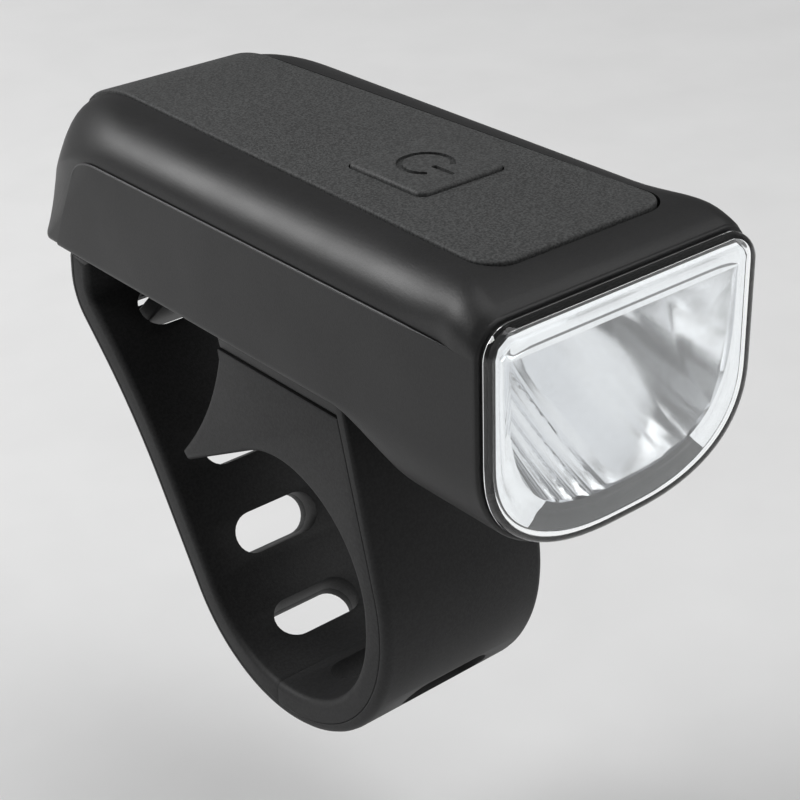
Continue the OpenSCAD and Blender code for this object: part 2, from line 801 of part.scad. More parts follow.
leg_start = rear_c + bend_rear * normal(leg_angle);
leg_end = leg_start + leg_l * heading(leg_angle);
sweep_c = leg_end + sweep_r * normal(leg_angle);
eye_angle = leg_angle - sweep_angle;
eye_start = sweep_c - sweep_r * normal(eye_angle);
turn_c = eye_start + eye_l * heading(eye_angle) - tail_r * normal(eye_angle);
tab_angle = eye_angle + tail_turn;

bend_len = bend_rear * leg_angle * PI / 180;
sweep_len = sweep_r * sweep_angle * PI / 180;
eye_at = bend_len + leg_l + sweep_len + eye_l * 0.4;

// Heading of the tail, and its point at depth d, at a length s from the lowest point.
function tail_heading(s) =
    s < bend_len ? leg_angle * s / bend_len
    : s < bend_len + leg_l ? leg_angle
    : s < bend_len + leg_l + sweep_len ? leg_angle - (s - bend_len - leg_l) / sweep_r * 180 / PI
    : eye_angle;
function tail_point(s, d) =
    let (a = tail_heading(s))
    s < bend_len ? rear_c + (bend_rear + d) * normal(a)
    : s < bend_len + leg_l ? leg_start + (s - bend_len) * heading(a) + d * normal(a)
    : s < bend_len + leg_l + sweep_len ? sweep_c - (sweep_r - d) * normal(a)
    : eye_start + (s - bend_len - leg_l - sweep_len) * heading(a) + d * normal(a);

// Mount base

arm_end = tail_point(eye_at, 0)[0] - 0.6;
mount_y = (saddle_rear + arm_end) / 2 - 4;

module each_mount_screw() {
    for (x = [-1, 1]) translate([x * arm_w / 4, mount_y, 0]) children();
}

module hook_side() {
    a = tail_heading(eye_at);
    out = normal(a);
    up = heading(a);
    root = tail_point(eye_at, 0) - 1.6 * out;
    tip = tail_point(eye_at, strap_t + 1.4);
    half = peg_t / 2;
    polygon([
        [root[0] - 4.5, belly_z - eps], [root[0] + 0.5, belly_z - eps],
        root + half * up, tip - 1.2 * out + half * up, tip - 1.2 * out + (half + lip_t) * up,
        tip + (half + lip_t / 2) * up, tip - half * up, root - half * up - 2.4 * out]);
}

module mount_base() {
    color("#17181a") difference() {
        union() {
            across(strap_w - 0.6) polygon([
                [front_line(saddle_top, liner_t), saddle_top], [saddle_rear, saddle_top],
                [saddle_rear + 1.5, belly_z - arm_t], [saddle_rear + 1.5, belly_z],
                [front_line(belly_z, liner_t), belly_z]]);
            translate([0, (saddle_rear + arm_end) / 2, 0])
                block([arm_w, arm_end - saddle_rear, arm_t], 2, belly_z - arm_t);
            across(hook_w) hook_side();
        }
        each_mount_screw() {
            upright(0, 0, belly_z - far, belly_z - arm_t + head_h, head_d + 4 * screw_clear);
            upright(0, 0, belly_z - far, belly_z + eps, screw_d + 4 * screw_clear);
        }
    }
}

module mount_screws() {
    color("#8a8d91") each_mount_screw() screw(belly_z - arm_t, arm_t - head_h + floor_t - 0.8);
}

// Saddle and strap

function tail_curve(d) = concat(
    arc(rear_c, bend_rear + d, 270, 270 + leg_angle),
    [for (i = [0:4]) sweep_c - (sweep_r - d) * normal(leg_angle - sweep_angle * i / 4)],
    [for (i = [0:6]) turn_c + (tail_r + d) * normal(eye_angle + tail_turn * i / 6)],
    [turn_c + (tail_r + d) * normal(tab_angle) + tab_l * heading(tab_angle)]);

// A round-ended slot across the strap, about X at a point with its heading.
module slot(p, a) {
    translate([0, p[0], p[1]]) rotate([a, 0, 0]) {
        cube([slot_w - slot_l, slot_l, 4 * strap_t], center = true);
        for (x = [-1, 1]) translate([x * (slot_w - slot_l) / 2, 0, 0])
            cylinder(h = 4 * strap_t, d = slot_l, center = true);
    }
}

module front_slots() {
    for (i = [1:2]) {
        a = (slot_start - i * slot_pitch) / bend_front * 180 / PI;
        slot(bend_c + bend_front * normal(a), a);
    }
}

module tail_slots() {
    for (i = [0:2]) {
        s = slot_start + i * slot_pitch;
        slot(tail_point(s, strap_t / 2), tail_heading(s));
    }
    slot(tail_point(eye_at, strap_t / 2), eye_angle);
}

module saddle_grip() {
    leave = 62;
    outline = concat(
        front_curve(liner_t),
        [[front_line(saddle_top, liner_t), saddle_top]],
        bezier([saddle_rear, saddle_top], [saddle_rear + 2.6, mix(saddle_tip[1], saddle_top, 0.5)],
               saddle_tip + [1.2, 1.2], 6),
        [saddle_tip, grip_r * heading(leave), [0, 0], [bend_c[0] - bend_front + 2, -bend_drop]],
        arc(bend_c, bend_front, 180, 270));
    color("#2b2c2e") difference() {
        across(strap_w) polygon(outline);
        rotate([0, 90, 0]) cylinder(h = 2 * strap_w, r = grip_r, center = true, $fn = 96);
        front_slots();
    }
}

module strap_band() {
    top = belly_z - 1;
    outline = concat(
        front_curve(liner_t),
        [[front_line(top, liner_t), top], [front_line(top, strap_t), top]],
        reversed(front_curve(strap_t)));
    color("#26272a") difference() {
        across(strap_w) polygon(outline);
        front_slots();
    }
}

module strap_tail() {
    outline = concat(tail_curve(0), reversed(tail_curve(strap_t)));
    color("#26272a") difference() {
        across(strap_w) polygon(outline);
        translate([0, bend_c[0], low_z]) cube([far, 2 * seam_gap, far / 4], center = true);
        tail_slots();
    }
}

upper_housing();
lower_housing();
housing_seal();
front_lens();
lens_gasket();
reflector();
led_emitter();
led_board();
heat_sink();
led_leads();
main_board();
switch_body();
switch_stem();
charging_port();
battery_cell();
battery_foam();
battery_leads();
top_pad();
power_button();
port_flap();
housing_screws();
board_screws();
mount_base();
mount_screws();
saddle_grip();
strap_band();
strap_tail();
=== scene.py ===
"""Looks of a compact bicycle headlight that straps to a handlebar."""

import math

import bmesh
import bpy
from mathutils import Matrix, Vector


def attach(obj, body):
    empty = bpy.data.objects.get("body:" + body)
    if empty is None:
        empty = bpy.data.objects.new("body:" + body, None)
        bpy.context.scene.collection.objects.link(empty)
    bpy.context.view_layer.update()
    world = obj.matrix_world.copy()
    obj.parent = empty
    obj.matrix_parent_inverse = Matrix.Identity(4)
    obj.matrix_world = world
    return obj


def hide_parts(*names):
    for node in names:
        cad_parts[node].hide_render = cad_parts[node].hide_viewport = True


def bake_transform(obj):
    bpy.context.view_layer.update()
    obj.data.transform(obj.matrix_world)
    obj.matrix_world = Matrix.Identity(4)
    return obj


bl_info = {
    "name": "Strap-on bicycle headlight",
    "version": (1, 0, 0),
    "blender": (4, 5, 0),
    "location": "3D View > Sidebar > Headlight",
    "description": "Builds the visible pieces of a bicycle headlight around its solids",
    "category": "Object",
}

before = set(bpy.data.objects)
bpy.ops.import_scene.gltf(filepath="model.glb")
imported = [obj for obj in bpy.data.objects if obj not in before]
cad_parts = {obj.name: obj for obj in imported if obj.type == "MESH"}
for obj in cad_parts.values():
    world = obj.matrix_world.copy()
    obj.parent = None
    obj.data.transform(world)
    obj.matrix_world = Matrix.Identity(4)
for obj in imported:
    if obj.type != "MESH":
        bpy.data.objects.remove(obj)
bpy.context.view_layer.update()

MM = 0.001

# Sizes of the solids, in millimetres.
BODY_L = 90.0
BODY_H = 21.0
HALF_W = 20.0
BELLY = 34.9
TOP = BELLY + BODY_H
FRONT = -45.4
REAR = FRONT + BODY_L
WALL = 1.8
NOSE_DEPTH, NOSE_L, NOSE_BLEND, NOSE_ROUND, NOSE_POWER = 11.2, 14.0, 10.5, 14.2, 2.4
BELLY_ROUND, TOP_ROUND_X, TOP_ROUND_Z = 1.2, 7.5, 6.2
FRONT_ROUND, FRONT_DROP, FRONT_ROLL = 4.0, 2.2, 7.0
REAR_ROLL_L, REAR_ROLL_H, REAR_EDGE, REAR_LEAN, REAR_FLAT = 14.0, 8.0, 2.0, math.radians(28), 5.0
SEAM_H, SEAM_REAR, SEAM_STEP, SEAM_GAP = 15.0, 5.5, 0.3, 0.1
SEAM_Z = BELLY + SEAM_H
PAD_T, PAD_PROUD, PAD_W, PAD_W_REAR, PAD_CORNER, PAD_GAP, PAD_START = 1.6, 0.25, 26.4, 21.4, 3.5, 0.35, 5.4
LID_T = PAD_T - PAD_PROUD
PAD_TOP = TOP + PAD_PROUD
BUTTON_Y, BUTTON_W, BUTTON_L, BUTTON_CORNER, BUTTON_PROUD, BUTTON_GAP = -14.5, 12.7, 13.4, 1.2, 0.5, 0.2
BUTTON_LOW = PAD_TOP - PAD_T + 0.7
PORT_Y, PORT_Z, PORT_W, PORT_H = 41.4, 46.65, 9.0, 3.3
FLAP_ANGLE, FLAP_FACE, FLAP_LOW, PLUG_L = 35.0, REAR + PAD_PROUD, BELLY + 5.5, 1.2
ROLL_C = (REAR - REAR_ROLL_L, TOP - REAR_ROLL_H)
LENS_PROUD, LENS_INSET, LENS_T, GASKET_T = 2.6, 0.5, 1.1, 0.4
LENS_Y = FRONT - LENS_PROUD
ROOF_Z, ROOF_FLARE, VERTEX_Y, MIRROR_T, MIRROR_RIM, RIM_T = 47.5, 1.8, -25.0, 1.2, -46.25, 0.35
BOWL_A, BOWL_B, BOWL_T, RIM_FIT, LED_Y = 16.9, 18.6, 0.4, 0.25, -30.2
GRIP_R, SADDLE_TOP, STRAP_W, STRAP_T, LINER_T = 16.0, 27.5, 26.6, 4.8, 3.3
BEND_C, BEND_FRONT, REAR_C, BEND_REAR, FRONT_LEAN = (4.0, -1.0), 20.0, (4.0, -4.0), 17.0, 14.0
LEG_ANGLE, LEG_L, SWEEP_R, SWEEP_ANGLE, EYE_L = 60.0, 16.0, 90.0, 14.0, 5.0
TAIL_R, TAIL_TURN, TAB_L = 4.0, 50.0, 3.0
# Size, pitch and first place of the strap's slots, in millimetres.
SLOT_W, SLOT_L, SLOT_PITCH, SLOT_START = 14.0, 6.0, 13.6, 8.75
CRACK, SLOT_EDGE = 0.2, 0.25
SADDLE_REAR, SADDLE_TIP = 12.0, (22.2, 6.4)
ARM_W, ARM_T, ARM_GAP, HOOK_W, PEG_T, LIP_T = 18.0, 2.4, 0.6, 11.0, 2.6, 0.9
HEAD_D, HEAD_H, SCREW_D = 3.8, 1.0, 2.0
BOSS_X, BOSS_FRONT, BOSS_REAR = 15.2, -17.9, 35.2
FACE_Z = 41.0
# The floor lies just below the strap's tail where that hangs open.
FLOOR_Z, FLOOR_HALF = -52.5, 3000.0
# The camera's place in metres, and its turn to the left, its height angle and its roll in degrees.
CAMERA_AT, CAMERA_TURN = (-0.125213, -0.164522, 0.133010), (-38.722, 28.713, -1.901)


# Plain geometry, in millimetres.

def smooth(t):
    c = min(max(t, 0.0), 1.0)
    return c * c * (3 - 2 * c)


def mix(a, b, t):
    return a + (b - a) * t


def steps(a, b, n):
    return [mix(a, b, i / n) for i in range(n + 1)]


def sin(degrees):
    return math.sin(math.radians(degrees))


def cos(degrees):
    return math.cos(math.radians(degrees))


def heading(a):
    return (cos(a), sin(a))


def normal(a):
    return (sin(a), -cos(a))


def plus(p, q, k=1.0):
    return (p[0] + k * q[0], p[1] + k * q[1])


def arc(c, r, a0, a1, n):
    return [plus(c, heading(a), r) for a in steps(a0, a1, n)]


def bezier(p0, p1, p2, n):
    return [tuple((1 - t) ** 2 * a + 2 * t * (1 - t) * b + t * t * c for a, b, c in zip(p0, p1, p2))
            for t in steps(0, 1, n)]


def rounded_box(w, l, r, n=6):
    """Plan of a rectangle with round corners."""
    x, y = w / 2 - r, l / 2 - r
    corners = [(x, y, 0), (-x, y, 90), (-x, -y, 180), (x, -y, 270)]
    return [p for cx, cy, a in corners for p in arc((cx, cy), r, a, a + 90, n)]


def oval(w, h, g, n=8):
    """Outline of the charging port, grown by g, in X and Z."""
    side = (w - h) / 2
    return ([(side + p[0], PORT_Z + p[1]) for p in arc((0, 0), h / 2 + g, -90, 90, n)]
            + [(-side + p[0], PORT_Z + p[1]) for p in arc((0, 0), h / 2 + g, 90, 270, n)])


def inward(outline, insets, hold=None):
    """The outline moved inward by its own inset at each point; held points move square to one edge only."""
    n = len(outline)
    area = sum(outline[i - 1][0] * outline[i][1] - outline[i][0] * outline[i - 1][1] for i in range(n))
    turn = 1 if area > 0 else -1
    moved = []
    for i, p in enumerate(outline):
        before, after = outline[i - 1], outline[(i + 1) % n]
        e1 = Vector((p[0] - before[0], p[1] - before[1])).normalized()
        e2 = Vector((after[0] - p[0], after[1] - p[1])).normalized()
        n1, n2 = Vector((-e1.y, e1.x)) * turn, Vector((-e2.y, e2.x)) * turn
        side = hold[i] if hold else 0
        shift = n1 if side < 0 else n2 if side > 0 else (n1 + n2) / max(1 + n1.dot(n2), 0.35)
        moved.append((p[0] + shift.x * insets[i], p[1] + shift.y * insets[i]))
    return moved


# Housing form: cross-sections along Y and the rear rounding.

def nose(d):
    return 1 - smooth((d - NOSE_L) / NOSE_BLEND)


def top_at(d):
    return TOP - FRONT_DROP * (1 - min(max(d, 0) / FRONT_ROLL, 1)) ** 2


def section(d, w, inset=0.0, lid=0.0, n=16):
    hw = w - inset
    zb = BELLY - NOSE_DEPTH * nose(d) + inset
    zt = top_at(d) - inset - lid
    ab = max(mix(BELLY_ROUND, w - BELLY_ROUND, nose(d)) - inset, inset / 2 + 0.01)
    bb = max(mix(BELLY_ROUND, NOSE_ROUND, nose(d)) - inset, inset / 2 + 0.01)
    soft = smooth(d / NOSE_L)
    at = max(mix(FRONT_ROUND, TOP_ROUND_X, soft) - inset, 1)
    bt = max(mix(FRONT_ROUND, TOP_ROUND_Z, soft) - inset, 1)
    e = 2 / NOSE_POWER
    angles = [math.radians(a) for a in steps(0, 90, n)]
    half = [(0, zb)]
    half += [(hw - ab + ab * math.sin(t) ** e, zb + bb - bb * max(math.cos(t), 0) ** e) for t in angles]
    half += [(hw - at + at * math.cos(t), zt - bt + bt * math.sin(t)) for t in angles]
    half += [(0, zt)]
    return half + [(-x, z) for x, z in reversed(half[1:-1])]


def ring_at(y, outline):
    return [(x, y, z) for x, z in outline]


def pull(x, z, w):
    return (max(abs(x) - REAR_FLAT, 0) / (w - REAR_FLAT)) ** 3 * (1 + max(z - BELLY, 0) * math.tan(REAR_LEAN))


def rear_ring(t, w, inset=0.0, lid=0.0):
    ring = []
    fall = 1 - cos(t)
    for x, z in section(BODY_L, w, inset, lid):
        k = smooth((z + inset + lid - BELLY) / BODY_H * 1.4 - 0.4)
        a = mix(REAR_EDGE, REAR_ROLL_L, k)
        low = REAR_EDGE / 2 * (1 - smooth((z - BELLY) / BODY_H * 3))
        qx, qz = x * (1 - REAR_EDGE * fall / w), z + (low - REAR_ROLL_H * k) * fall
        ring.append((qx, REAR - inset - lid - pull(qx, qz, w) - a * (1 - sin(t)), qz))
    return ring


def face_ring(s, w, inset=0.0, lid=0.0):
    ring = []
    for x, _, z in rear_ring(90, w, inset, lid):
        qx, qz = x * s, mix(FACE_Z, z, s)
        ring.append((qx, REAR - inset - lid - pull(qx, qz, w), qz))
    return ring


def between(a, b, t):
    return [tuple(mix(p, q, t) for p, q in zip(u, v)) for u, v in zip(a, b)]


def housing_rings(width, inset=0.0, lid=0.0, rim=0.0):
    """Rings of the housing's outer or inner form, from the front to the rear; width gives the half-width at d."""
    if rim:
        rings = [ring_at(FRONT + rim * (1 - cos(t)), section(0, width(0), rim * (1 - sin(t)))) for t in steps(0, 90, 4)]
    else:
        rings = [ring_at(FRONT - 1, section(0, width(0), inset, lid))]
    stations = [0.8, 1.6, 2.4, 3.2, 4, 5, 6, 7, 8.5, 10, 12, 14] + [NOSE_L + NOSE_BLEND * i / 18 for i in range(1, 19)]
    rings += [ring_at(FRONT + d, section(d, width(d), inset, lid)) for d in stations]
    last, first = rings[-1], rear_ring(0, width(BODY_L), inset, lid)
    rings += [between(last, first, t) for t in (0.12, 0.3, 0.5, 0.7, 0.85, 0.95)]
    rings += [rear_ring(t, width(BODY_L), inset, lid) for t in steps(0, 90, 14)]
    rings += [face_ring(s, width(BODY_L), inset, lid) for s in (0.94, 0.85, 0.75, 0.65, 0.52, 0.4, 0.25, 0.1)]
    return rings


def seam_outline(g, fade=0.0):
    """Side view of the lower shell's reach, grown by g behind the place where the seam fades out."""
    lean = math.tan(REAR_LEAN)
    back = REAR - SEAM_REAR
    cy, cz = back - SEAM_H * lean, SEAM_Z
    curve = bezier((cy + 3 * lean + g, cz - 3), (cy + g, cz + g), (cy - 5, cz + g), 10)
    front = [(FRONT + fade + 2, SEAM_Z + g), (FRONT + fade, SEAM_Z)] if fade else []
    return [(FRONT - 60, BELLY - 60), (back + g, BELLY - 60), (back + g, BELLY)] + curve + front + [
        (FRONT - 60, SEAM_Z if fade else SEAM_Z + g)]


# Strip path over the top and the rear rounding.

def roll_point(a, depth):
    g = PAD_PROUD - depth
    return (ROLL_C[0] + (REAR_ROLL_L + g) * math.cos(math.radians(a)),
            ROLL_C[1] + (REAR_ROLL_H + g) * math.sin(math.radians(a)))


def strip_half(y, g=0.0):
    """Half-width of the strip at y, grown by g, with its round front corners."""
    y0 = FRONT + PAD_START - g
    w = PAD_W / 2 + g - (PAD_W - PAD_W_REAR) / 2 / (BODY_L - PAD_START) * (y - y0)
    r = PAD_CORNER + g
    near = min(max(y - y0, 0), r)
    return w - r + math.sqrt(max(r * r - (r - near) ** 2, 0))


def strip_path(a_end, start):
    """Points down the middle of the strip: a function of depth at each one, with its y."""
    flat = [start + s for s in (0, 0.04, 0.12, 0.22, 0.35, 0.6, 1, 1.6, 2.3, 3, 3.5)]
    flat += steps(start + 4.5, ROLL_C[0], 22)
    path = [(y, lambda depth, y=y: (y, PAD_TOP - depth)) for y in flat]
    path += [(roll_point(a, 0)[0], lambda depth, a=a: roll_point(a, depth)) for a in steps(90, a_end, 20)[1:]]
    return path


def edge_ring(half, edge, top, low, place, n=5):
    """One ring across a rubber piece with round upper edges: place turns a depth into (y, z)."""
    across = [(half - edge + edge * sin(t), top + edge * (1 - cos(t)))
              for t in steps(0, 90, n)]
    side = [(0, top)] + across + [(half, low)]
    outline = [(0, low)] + [(x, d) for x, d in reversed(side[1:])] + [(0, top)] + [(-x, d) for x, d in side[1:]]
    return [(x,) + place(d) for x, d in outline]


# Strap path in side view.

def front_line(z, d):
    p = plus(BEND_C, heading(180 - FRONT_LEAN), BEND_FRONT + d)
    return p[0] + (z - p[1]) * math.tan(math.radians(FRONT_LEAN))


def front_curve(d, n=40):
    return arc(BEND_C, BEND_FRONT + d, 270, 180 - FRONT_LEAN, n)


LEG_START = plus(REAR_C, normal(LEG_ANGLE), BEND_REAR)
LEG_END = plus(LEG_START, heading(LEG_ANGLE), LEG_L)
SWEEP_C = plus(LEG_END, normal(LEG_ANGLE), SWEEP_R)
EYE_ANGLE = LEG_ANGLE - SWEEP_ANGLE
EYE_START = plus(SWEEP_C, normal(EYE_ANGLE), -SWEEP_R)
TURN_C = plus(plus(EYE_START, heading(EYE_ANGLE), EYE_L), normal(EYE_ANGLE), -TAIL_R)
TAB_ANGLE = EYE_ANGLE + TAIL_TURN
BEND_LEN = BEND_REAR * math.radians(LEG_ANGLE)
SWEEP_LEN = SWEEP_R * math.radians(SWEEP_ANGLE)
EYE_AT = BEND_LEN + LEG_L + SWEEP_LEN + EYE_L * 0.4


def tail_heading(s):
    if s < BEND_LEN:
        return LEG_ANGLE * s / BEND_LEN
    if s < BEND_LEN + LEG_L:
        return LEG_ANGLE
    if s < BEND_LEN + LEG_L + SWEEP_LEN:
        return LEG_ANGLE - math.degrees((s - BEND_LEN - LEG_L) / SWEEP_R)
    return EYE_ANGLE


def tail_point(s, d):
    a = tail_heading(s)
    if s < BEND_LEN:
        return plus(REAR_C, normal(a), BEND_REAR + d)
    if s < BEND_LEN + LEG_L:
        return plus(plus(LEG_START, heading(a), s - BEND_LEN), normal(a), d)
    if s < BEND_LEN + LEG_L + SWEEP_LEN:
        return plus(SWEEP_C, normal(a), d - SWEEP_R)
    return plus(plus(EYE_START, heading(a), s - BEND_LEN - LEG_L - SWEEP_LEN), normal(a), d)


def tail_curve(d):
    line = [plus(REAR_C, normal(a), BEND_REAR + d) for a in steps(0, LEG_ANGLE, 24)]
    line += [tail_point(s, d) for s in steps(BEND_LEN, BEND_LEN + LEG_L, 6)[1:-1]]
    line += [plus(SWEEP_C, normal(a), d - SWEEP_R) for a in steps(LEG_ANGLE, EYE_ANGLE, 10)]
    line += [plus(TURN_C, normal(a), TAIL_R + d) for a in steps(EYE_ANGLE, TAB_ANGLE, 10)]
    return line + [plus(plus(TURN_C, normal(TAB_ANGLE), TAIL_R + d), heading(TAB_ANGLE), TAB_L)]


# Meshes.

def make_piece(name, points, faces):
    mesh = bpy.data.meshes.new(name)
    mesh.from_pydata([[c * MM for c in p] for p in points], [], faces)
    work = bmesh.new()
    work.from_mesh(mesh)
    bmesh.ops.remove_doubles(work, verts=work.verts, dist=1e-7)
    bmesh.ops.dissolve_degenerate(work, edges=work.edges, dist=1e-7)
    bmesh.ops.recalc_face_normals(work, faces=work.faces)
    work.to_mesh(mesh)
    work.free()
    piece = bpy.data.objects.new(name, mesh)
    bpy.context.scene.collection.objects.link(piece)
    return piece


def ring_faces(rings, offset=0):
    n = len(rings[0])
    faces = []
    for low in range(offset, offset + (len(rings) - 1) * n, n):
        faces += [(low + k, low + (k + 1) % n, low + n + (k + 1) % n, low + n + k) for k in range(n)]
    last = offset + (len(rings) - 1) * n
    return faces + [tuple(range(offset + n - 1, offset - 1, -1)), tuple(range(last, last + n))]


def loft(name, *bodies):
    """One piece from one or more closed stacks of rings."""
    points, faces = [], []
    for rings in bodies:
        faces += ring_faces(rings, len(points))
        points += [p for ring in rings for p in ring]
    return make_piece(name, points, faces)


def side_rings(outline, half, radii, hold=None, n=5):
    """A side view extruded along X with its own edge radius at each point."""
    right = []
    for t in steps(0, 90, n):
        s = math.radians(t)
        ring = inward(outline, [r * (1 - math.cos(s)) for r in radii], hold)
        right.append([(half - r + r * math.sin(s), y, z) for (y, z), r in zip(ring, radii)])
    left = [[(-x, y, z) for x, y, z in ring] for ring in reversed(right)]
    return left + right


def plan_rings(outline, low, high, radius, n=4, below=0.0):
    """A plan extruded along Z with a round upper edge and, where asked, a round lower one."""
    rings = []
    count = len(outline)
    if below:
        rings += [[(x, y, low + below * (1 - sin(t)))
                   for x, y in inward(outline, [below * (1 - cos(t))] * count)] for t in steps(90, 0, n)]
    else:
        rings.append([(x, y, low) for x, y in outline])
    rings += [[(x, y, high - radius * (1 - sin(t)))
               for x, y in inward(outline, [radius * (1 - cos(t))] * count)] for t in steps(0, 90, n)]
    return rings


def prism_x(name, outline, half=60.0):
    return loft(name, [[(-half, y, z) for y, z in outline], [(half, y, z) for y, z in outline]])


def prism_y(name, outline, y0, y1):
    return loft(name, [[(x, y0, z) for x, z in outline], [(x, y1, z) for x, z in outline]])


def prism_z(name, outline, z0, z1):
    return loft(name, [[(x, y, z0) for x, y in outline], [(x, y, z1) for x, y in outline]])


def carve(piece, operation, *cutters):
    """Cuts or meets a piece with others, which are then removed."""
    for cutter in cutters:
        step = piece.modifiers.new("carve", "BOOLEAN")
        step.operation = operation
        step.solver = "EXACT"
        step.object = cutter
        settle(piece)
        bpy.data.objects.remove(cutter)
    return piece


def settle(piece):
    """Applies a piece's modifiers to its mesh."""
    graph = bpy.context.evaluated_depsgraph_get()
    mesh = bpy.data.meshes.new_from_object(piece.evaluated_get(graph))
    piece.modifiers.clear()
    piece.data = mesh
    mesh.name = piece.name
    if not mesh.polygons:
        raise RuntimeError(f"{piece.name} came out empty")


def soften(piece, angle=32, bevel=0.0):
    if bevel:
        step = piece.modifiers.new("edge", "BEVEL")
        step.width = bevel * MM
        step.segments = 2
        step.limit_method = "ANGLE"
        step.angle_limit = math.radians(48)
        settle(piece)
    piece.data.shade_smooth()
    piece.data.set_sharp_from_angle(angle=math.radians(angle))
    return piece


def place(piece, body, slot, material, *nodes):
    piece.data.materials.clear()
    piece.data.materials.append(material)
    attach(piece, body)
    if nodes:
        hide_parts(*nodes)
    return piece


# Finishes.

def grain_group():
    """Shared grain of moulded pieces: a fine height, a speckle and a slow drift over the surface."""
    name = "moulded_grain"
    if name in bpy.data.node_groups:
        return bpy.data.node_groups[name]
    group = bpy.data.node_groups.new(name, "ShaderNodeTree")
    group.interface.new_socket("Scale", in_out="INPUT", socket_type="NodeSocketFloat").default_value = 3000
    for label in ("Height", "Speckle", "Drift"):
        group.interface.new_socket(label, in_out="OUTPUT", socket_type="NodeSocketFloat")
    nodes, links = group.nodes, group.links
    inside, outside = nodes.new("NodeGroupInput"), nodes.new("NodeGroupOutput")
    where = nodes.new("ShaderNodeTexCoord")
    for label, ratio, detail, low, high in (("Height", 1.0, 3, 0.25, 0.75), ("Speckle", 0.55, 2, 0.38, 0.62),
                                            ("Drift", 0.0, 3, 0.3, 0.7)):
        noise = nodes.new("ShaderNodeTexNoise")
        noise.inputs["Detail"].default_value = detail
        noise.inputs["Roughness"].default_value = 0.6
        if ratio:
            scale = nodes.new("ShaderNodeMath")
            scale.operation = "MULTIPLY"
            scale.inputs[1].default_value = ratio
            links.new(inside.outputs["Scale"], scale.inputs[0])
            links.new(scale.outputs[0], noise.inputs["Scale"])
        else:
            noise.inputs["Scale"].default_value = 45
        span = nodes.new("ShaderNodeMapRange")
        span.inputs["From Min"].default_value = low
        span.inputs["From Max"].default_value = high
        links.new(where.outputs["Object"], noise.inputs["Vector"])
        links.new(noise.outputs["Fac"], span.inputs["Value"])
        links.new(span.outputs["Result"], outside.inputs[label])
    return group


def finish(name, colour, rough, scale=3000, depth=0.02, speckle=0.15, drift=0.12, metallic=0.0, specular=0.5, coat=0.0):
    """A moulded, painted or plated finish with grain, colour drift and uneven gloss."""
    material = bpy.data.materials.new(name)
    material.use_nodes = True
    nodes, links = material.node_tree.nodes, material.node_tree.links
    shader = nodes["Principled BSDF"]
    shader.inputs["Metallic"].default_value = metallic
    shader.inputs["Specular IOR Level"].default_value = specular
    shader.inputs["Coat Weight"].default_value = coat
    shader.inputs["Coat Roughness"].default_value = 0.25
    grain = nodes.new("ShaderNodeGroup")
    grain.node_tree = grain_group()
    grain.inputs["Scale"].default_value = scale
    colour = tuple(colour)[:3]
    spotted, drifted = nodes.new("ShaderNodeMix"), nodes.new("ShaderNodeMix")
    for node in (spotted, drifted):
        node.data_type = "RGBA"
    spotted.inputs["A"].default_value = (*[c * (1 - speckle) for c in colour], 1)
    spotted.inputs["B"].default_value = (*[min(c * (1 + speckle), 1) for c in colour], 1)
    links.new(grain.outputs["Speckle"], spotted.inputs["Factor"])
    drifted.blend_type = "MULTIPLY"
    drifted.inputs["Factor"].default_value = 1
    tone = nodes.new("ShaderNodeMapRange")
    tone.inputs["To Min"].default_value = 1 - drift
    tone.inputs["To Max"].default_value = 1
    links.new(grain.outputs["Drift"], tone.inputs["Value"])
    links.new(spotted.outputs["Result"], drifted.inputs["A"])
    links.new(tone.outputs["Result"], drifted.inputs["B"])
    links.new(drifted.outputs["Result"], shader.inputs["Base Color"])
    gloss = nodes.new("ShaderNodeMapRange")
    gloss.inputs["To Min"].default_value = max(rough - 0.05, 0.02)
    gloss.inputs["To Max"].default_value = min(rough + 0.05, 1)
    links.new(grain.outputs["Drift"], gloss.inputs["Value"])
    links.new(gloss.outputs["Result"], shader.inputs["Roughness"])
    if depth:
        bump = nodes.new("ShaderNodeBump")
        bump.inputs["Strength"].default_value = 0.6
        bump.inputs["Distance"].default_value = depth * MM
        links.new(grain.outputs["Height"], bump.inputs["Height"])
        links.new(bump.outputs["Normal"], shader.inputs["Normal"])
    return material


def clear_plastic(name, tint):
    """Clear lens plastic that lets lamp light through to what lies behind it."""
    material = bpy.data.materials.new(name)
    material.use_nodes = True
    nodes, links = material.node_tree.nodes, material.node_tree.links
    shader = nodes["Principled BSDF"]
    shader.inputs["Base Color"].default_value = (*tint, 1)
    shader.inputs["Transmission Weight"].default_value = 1
    shader.inputs["IOR"].default_value = 1.49
    grain = nodes.new("ShaderNodeGroup")
    grain.node_tree = grain_group()
    grain.inputs["Scale"].default_value = 900
    gloss = nodes.new("ShaderNodeMapRange")
    gloss.inputs["To Min"].default_value = 0.0
    gloss.inputs["To Max"].default_value = 0.03
    links.new(grain.outputs["Drift"], gloss.inputs["Value"])
    links.new(gloss.outputs["Result"], shader.inputs["Roughness"])
    path = nodes.new("ShaderNodeLightPath")
    either = nodes.new("ShaderNodeMath")
    either.operation = "MAXIMUM"
    links.new(path.outputs["Is Shadow Ray"], either.inputs[0])
    links.new(path.outputs["Is Diffuse Ray"], either.inputs[1])
    open_to = nodes.new("ShaderNodeMapRange")
    open_to.inputs["To Min"].default_value = 1
    open_to.inputs["To Max"].default_value = 0.08
    links.new(either.outputs[0], open_to.inputs["Value"])
    links.new(open_to.outputs["Result"], shader.inputs["Alpha"])
    return material


def ready(name, make):
    """The named finish, made on its first use; its own ending keeps it apart from the solids' plain colours."""
    name += "_finish"
    return bpy.data.materials.get(name) or make(name)


# Settings.

def length(name, description, value):
    return bpy.props.FloatProperty(name=name, description=description, default=value, unit="LENGTH")


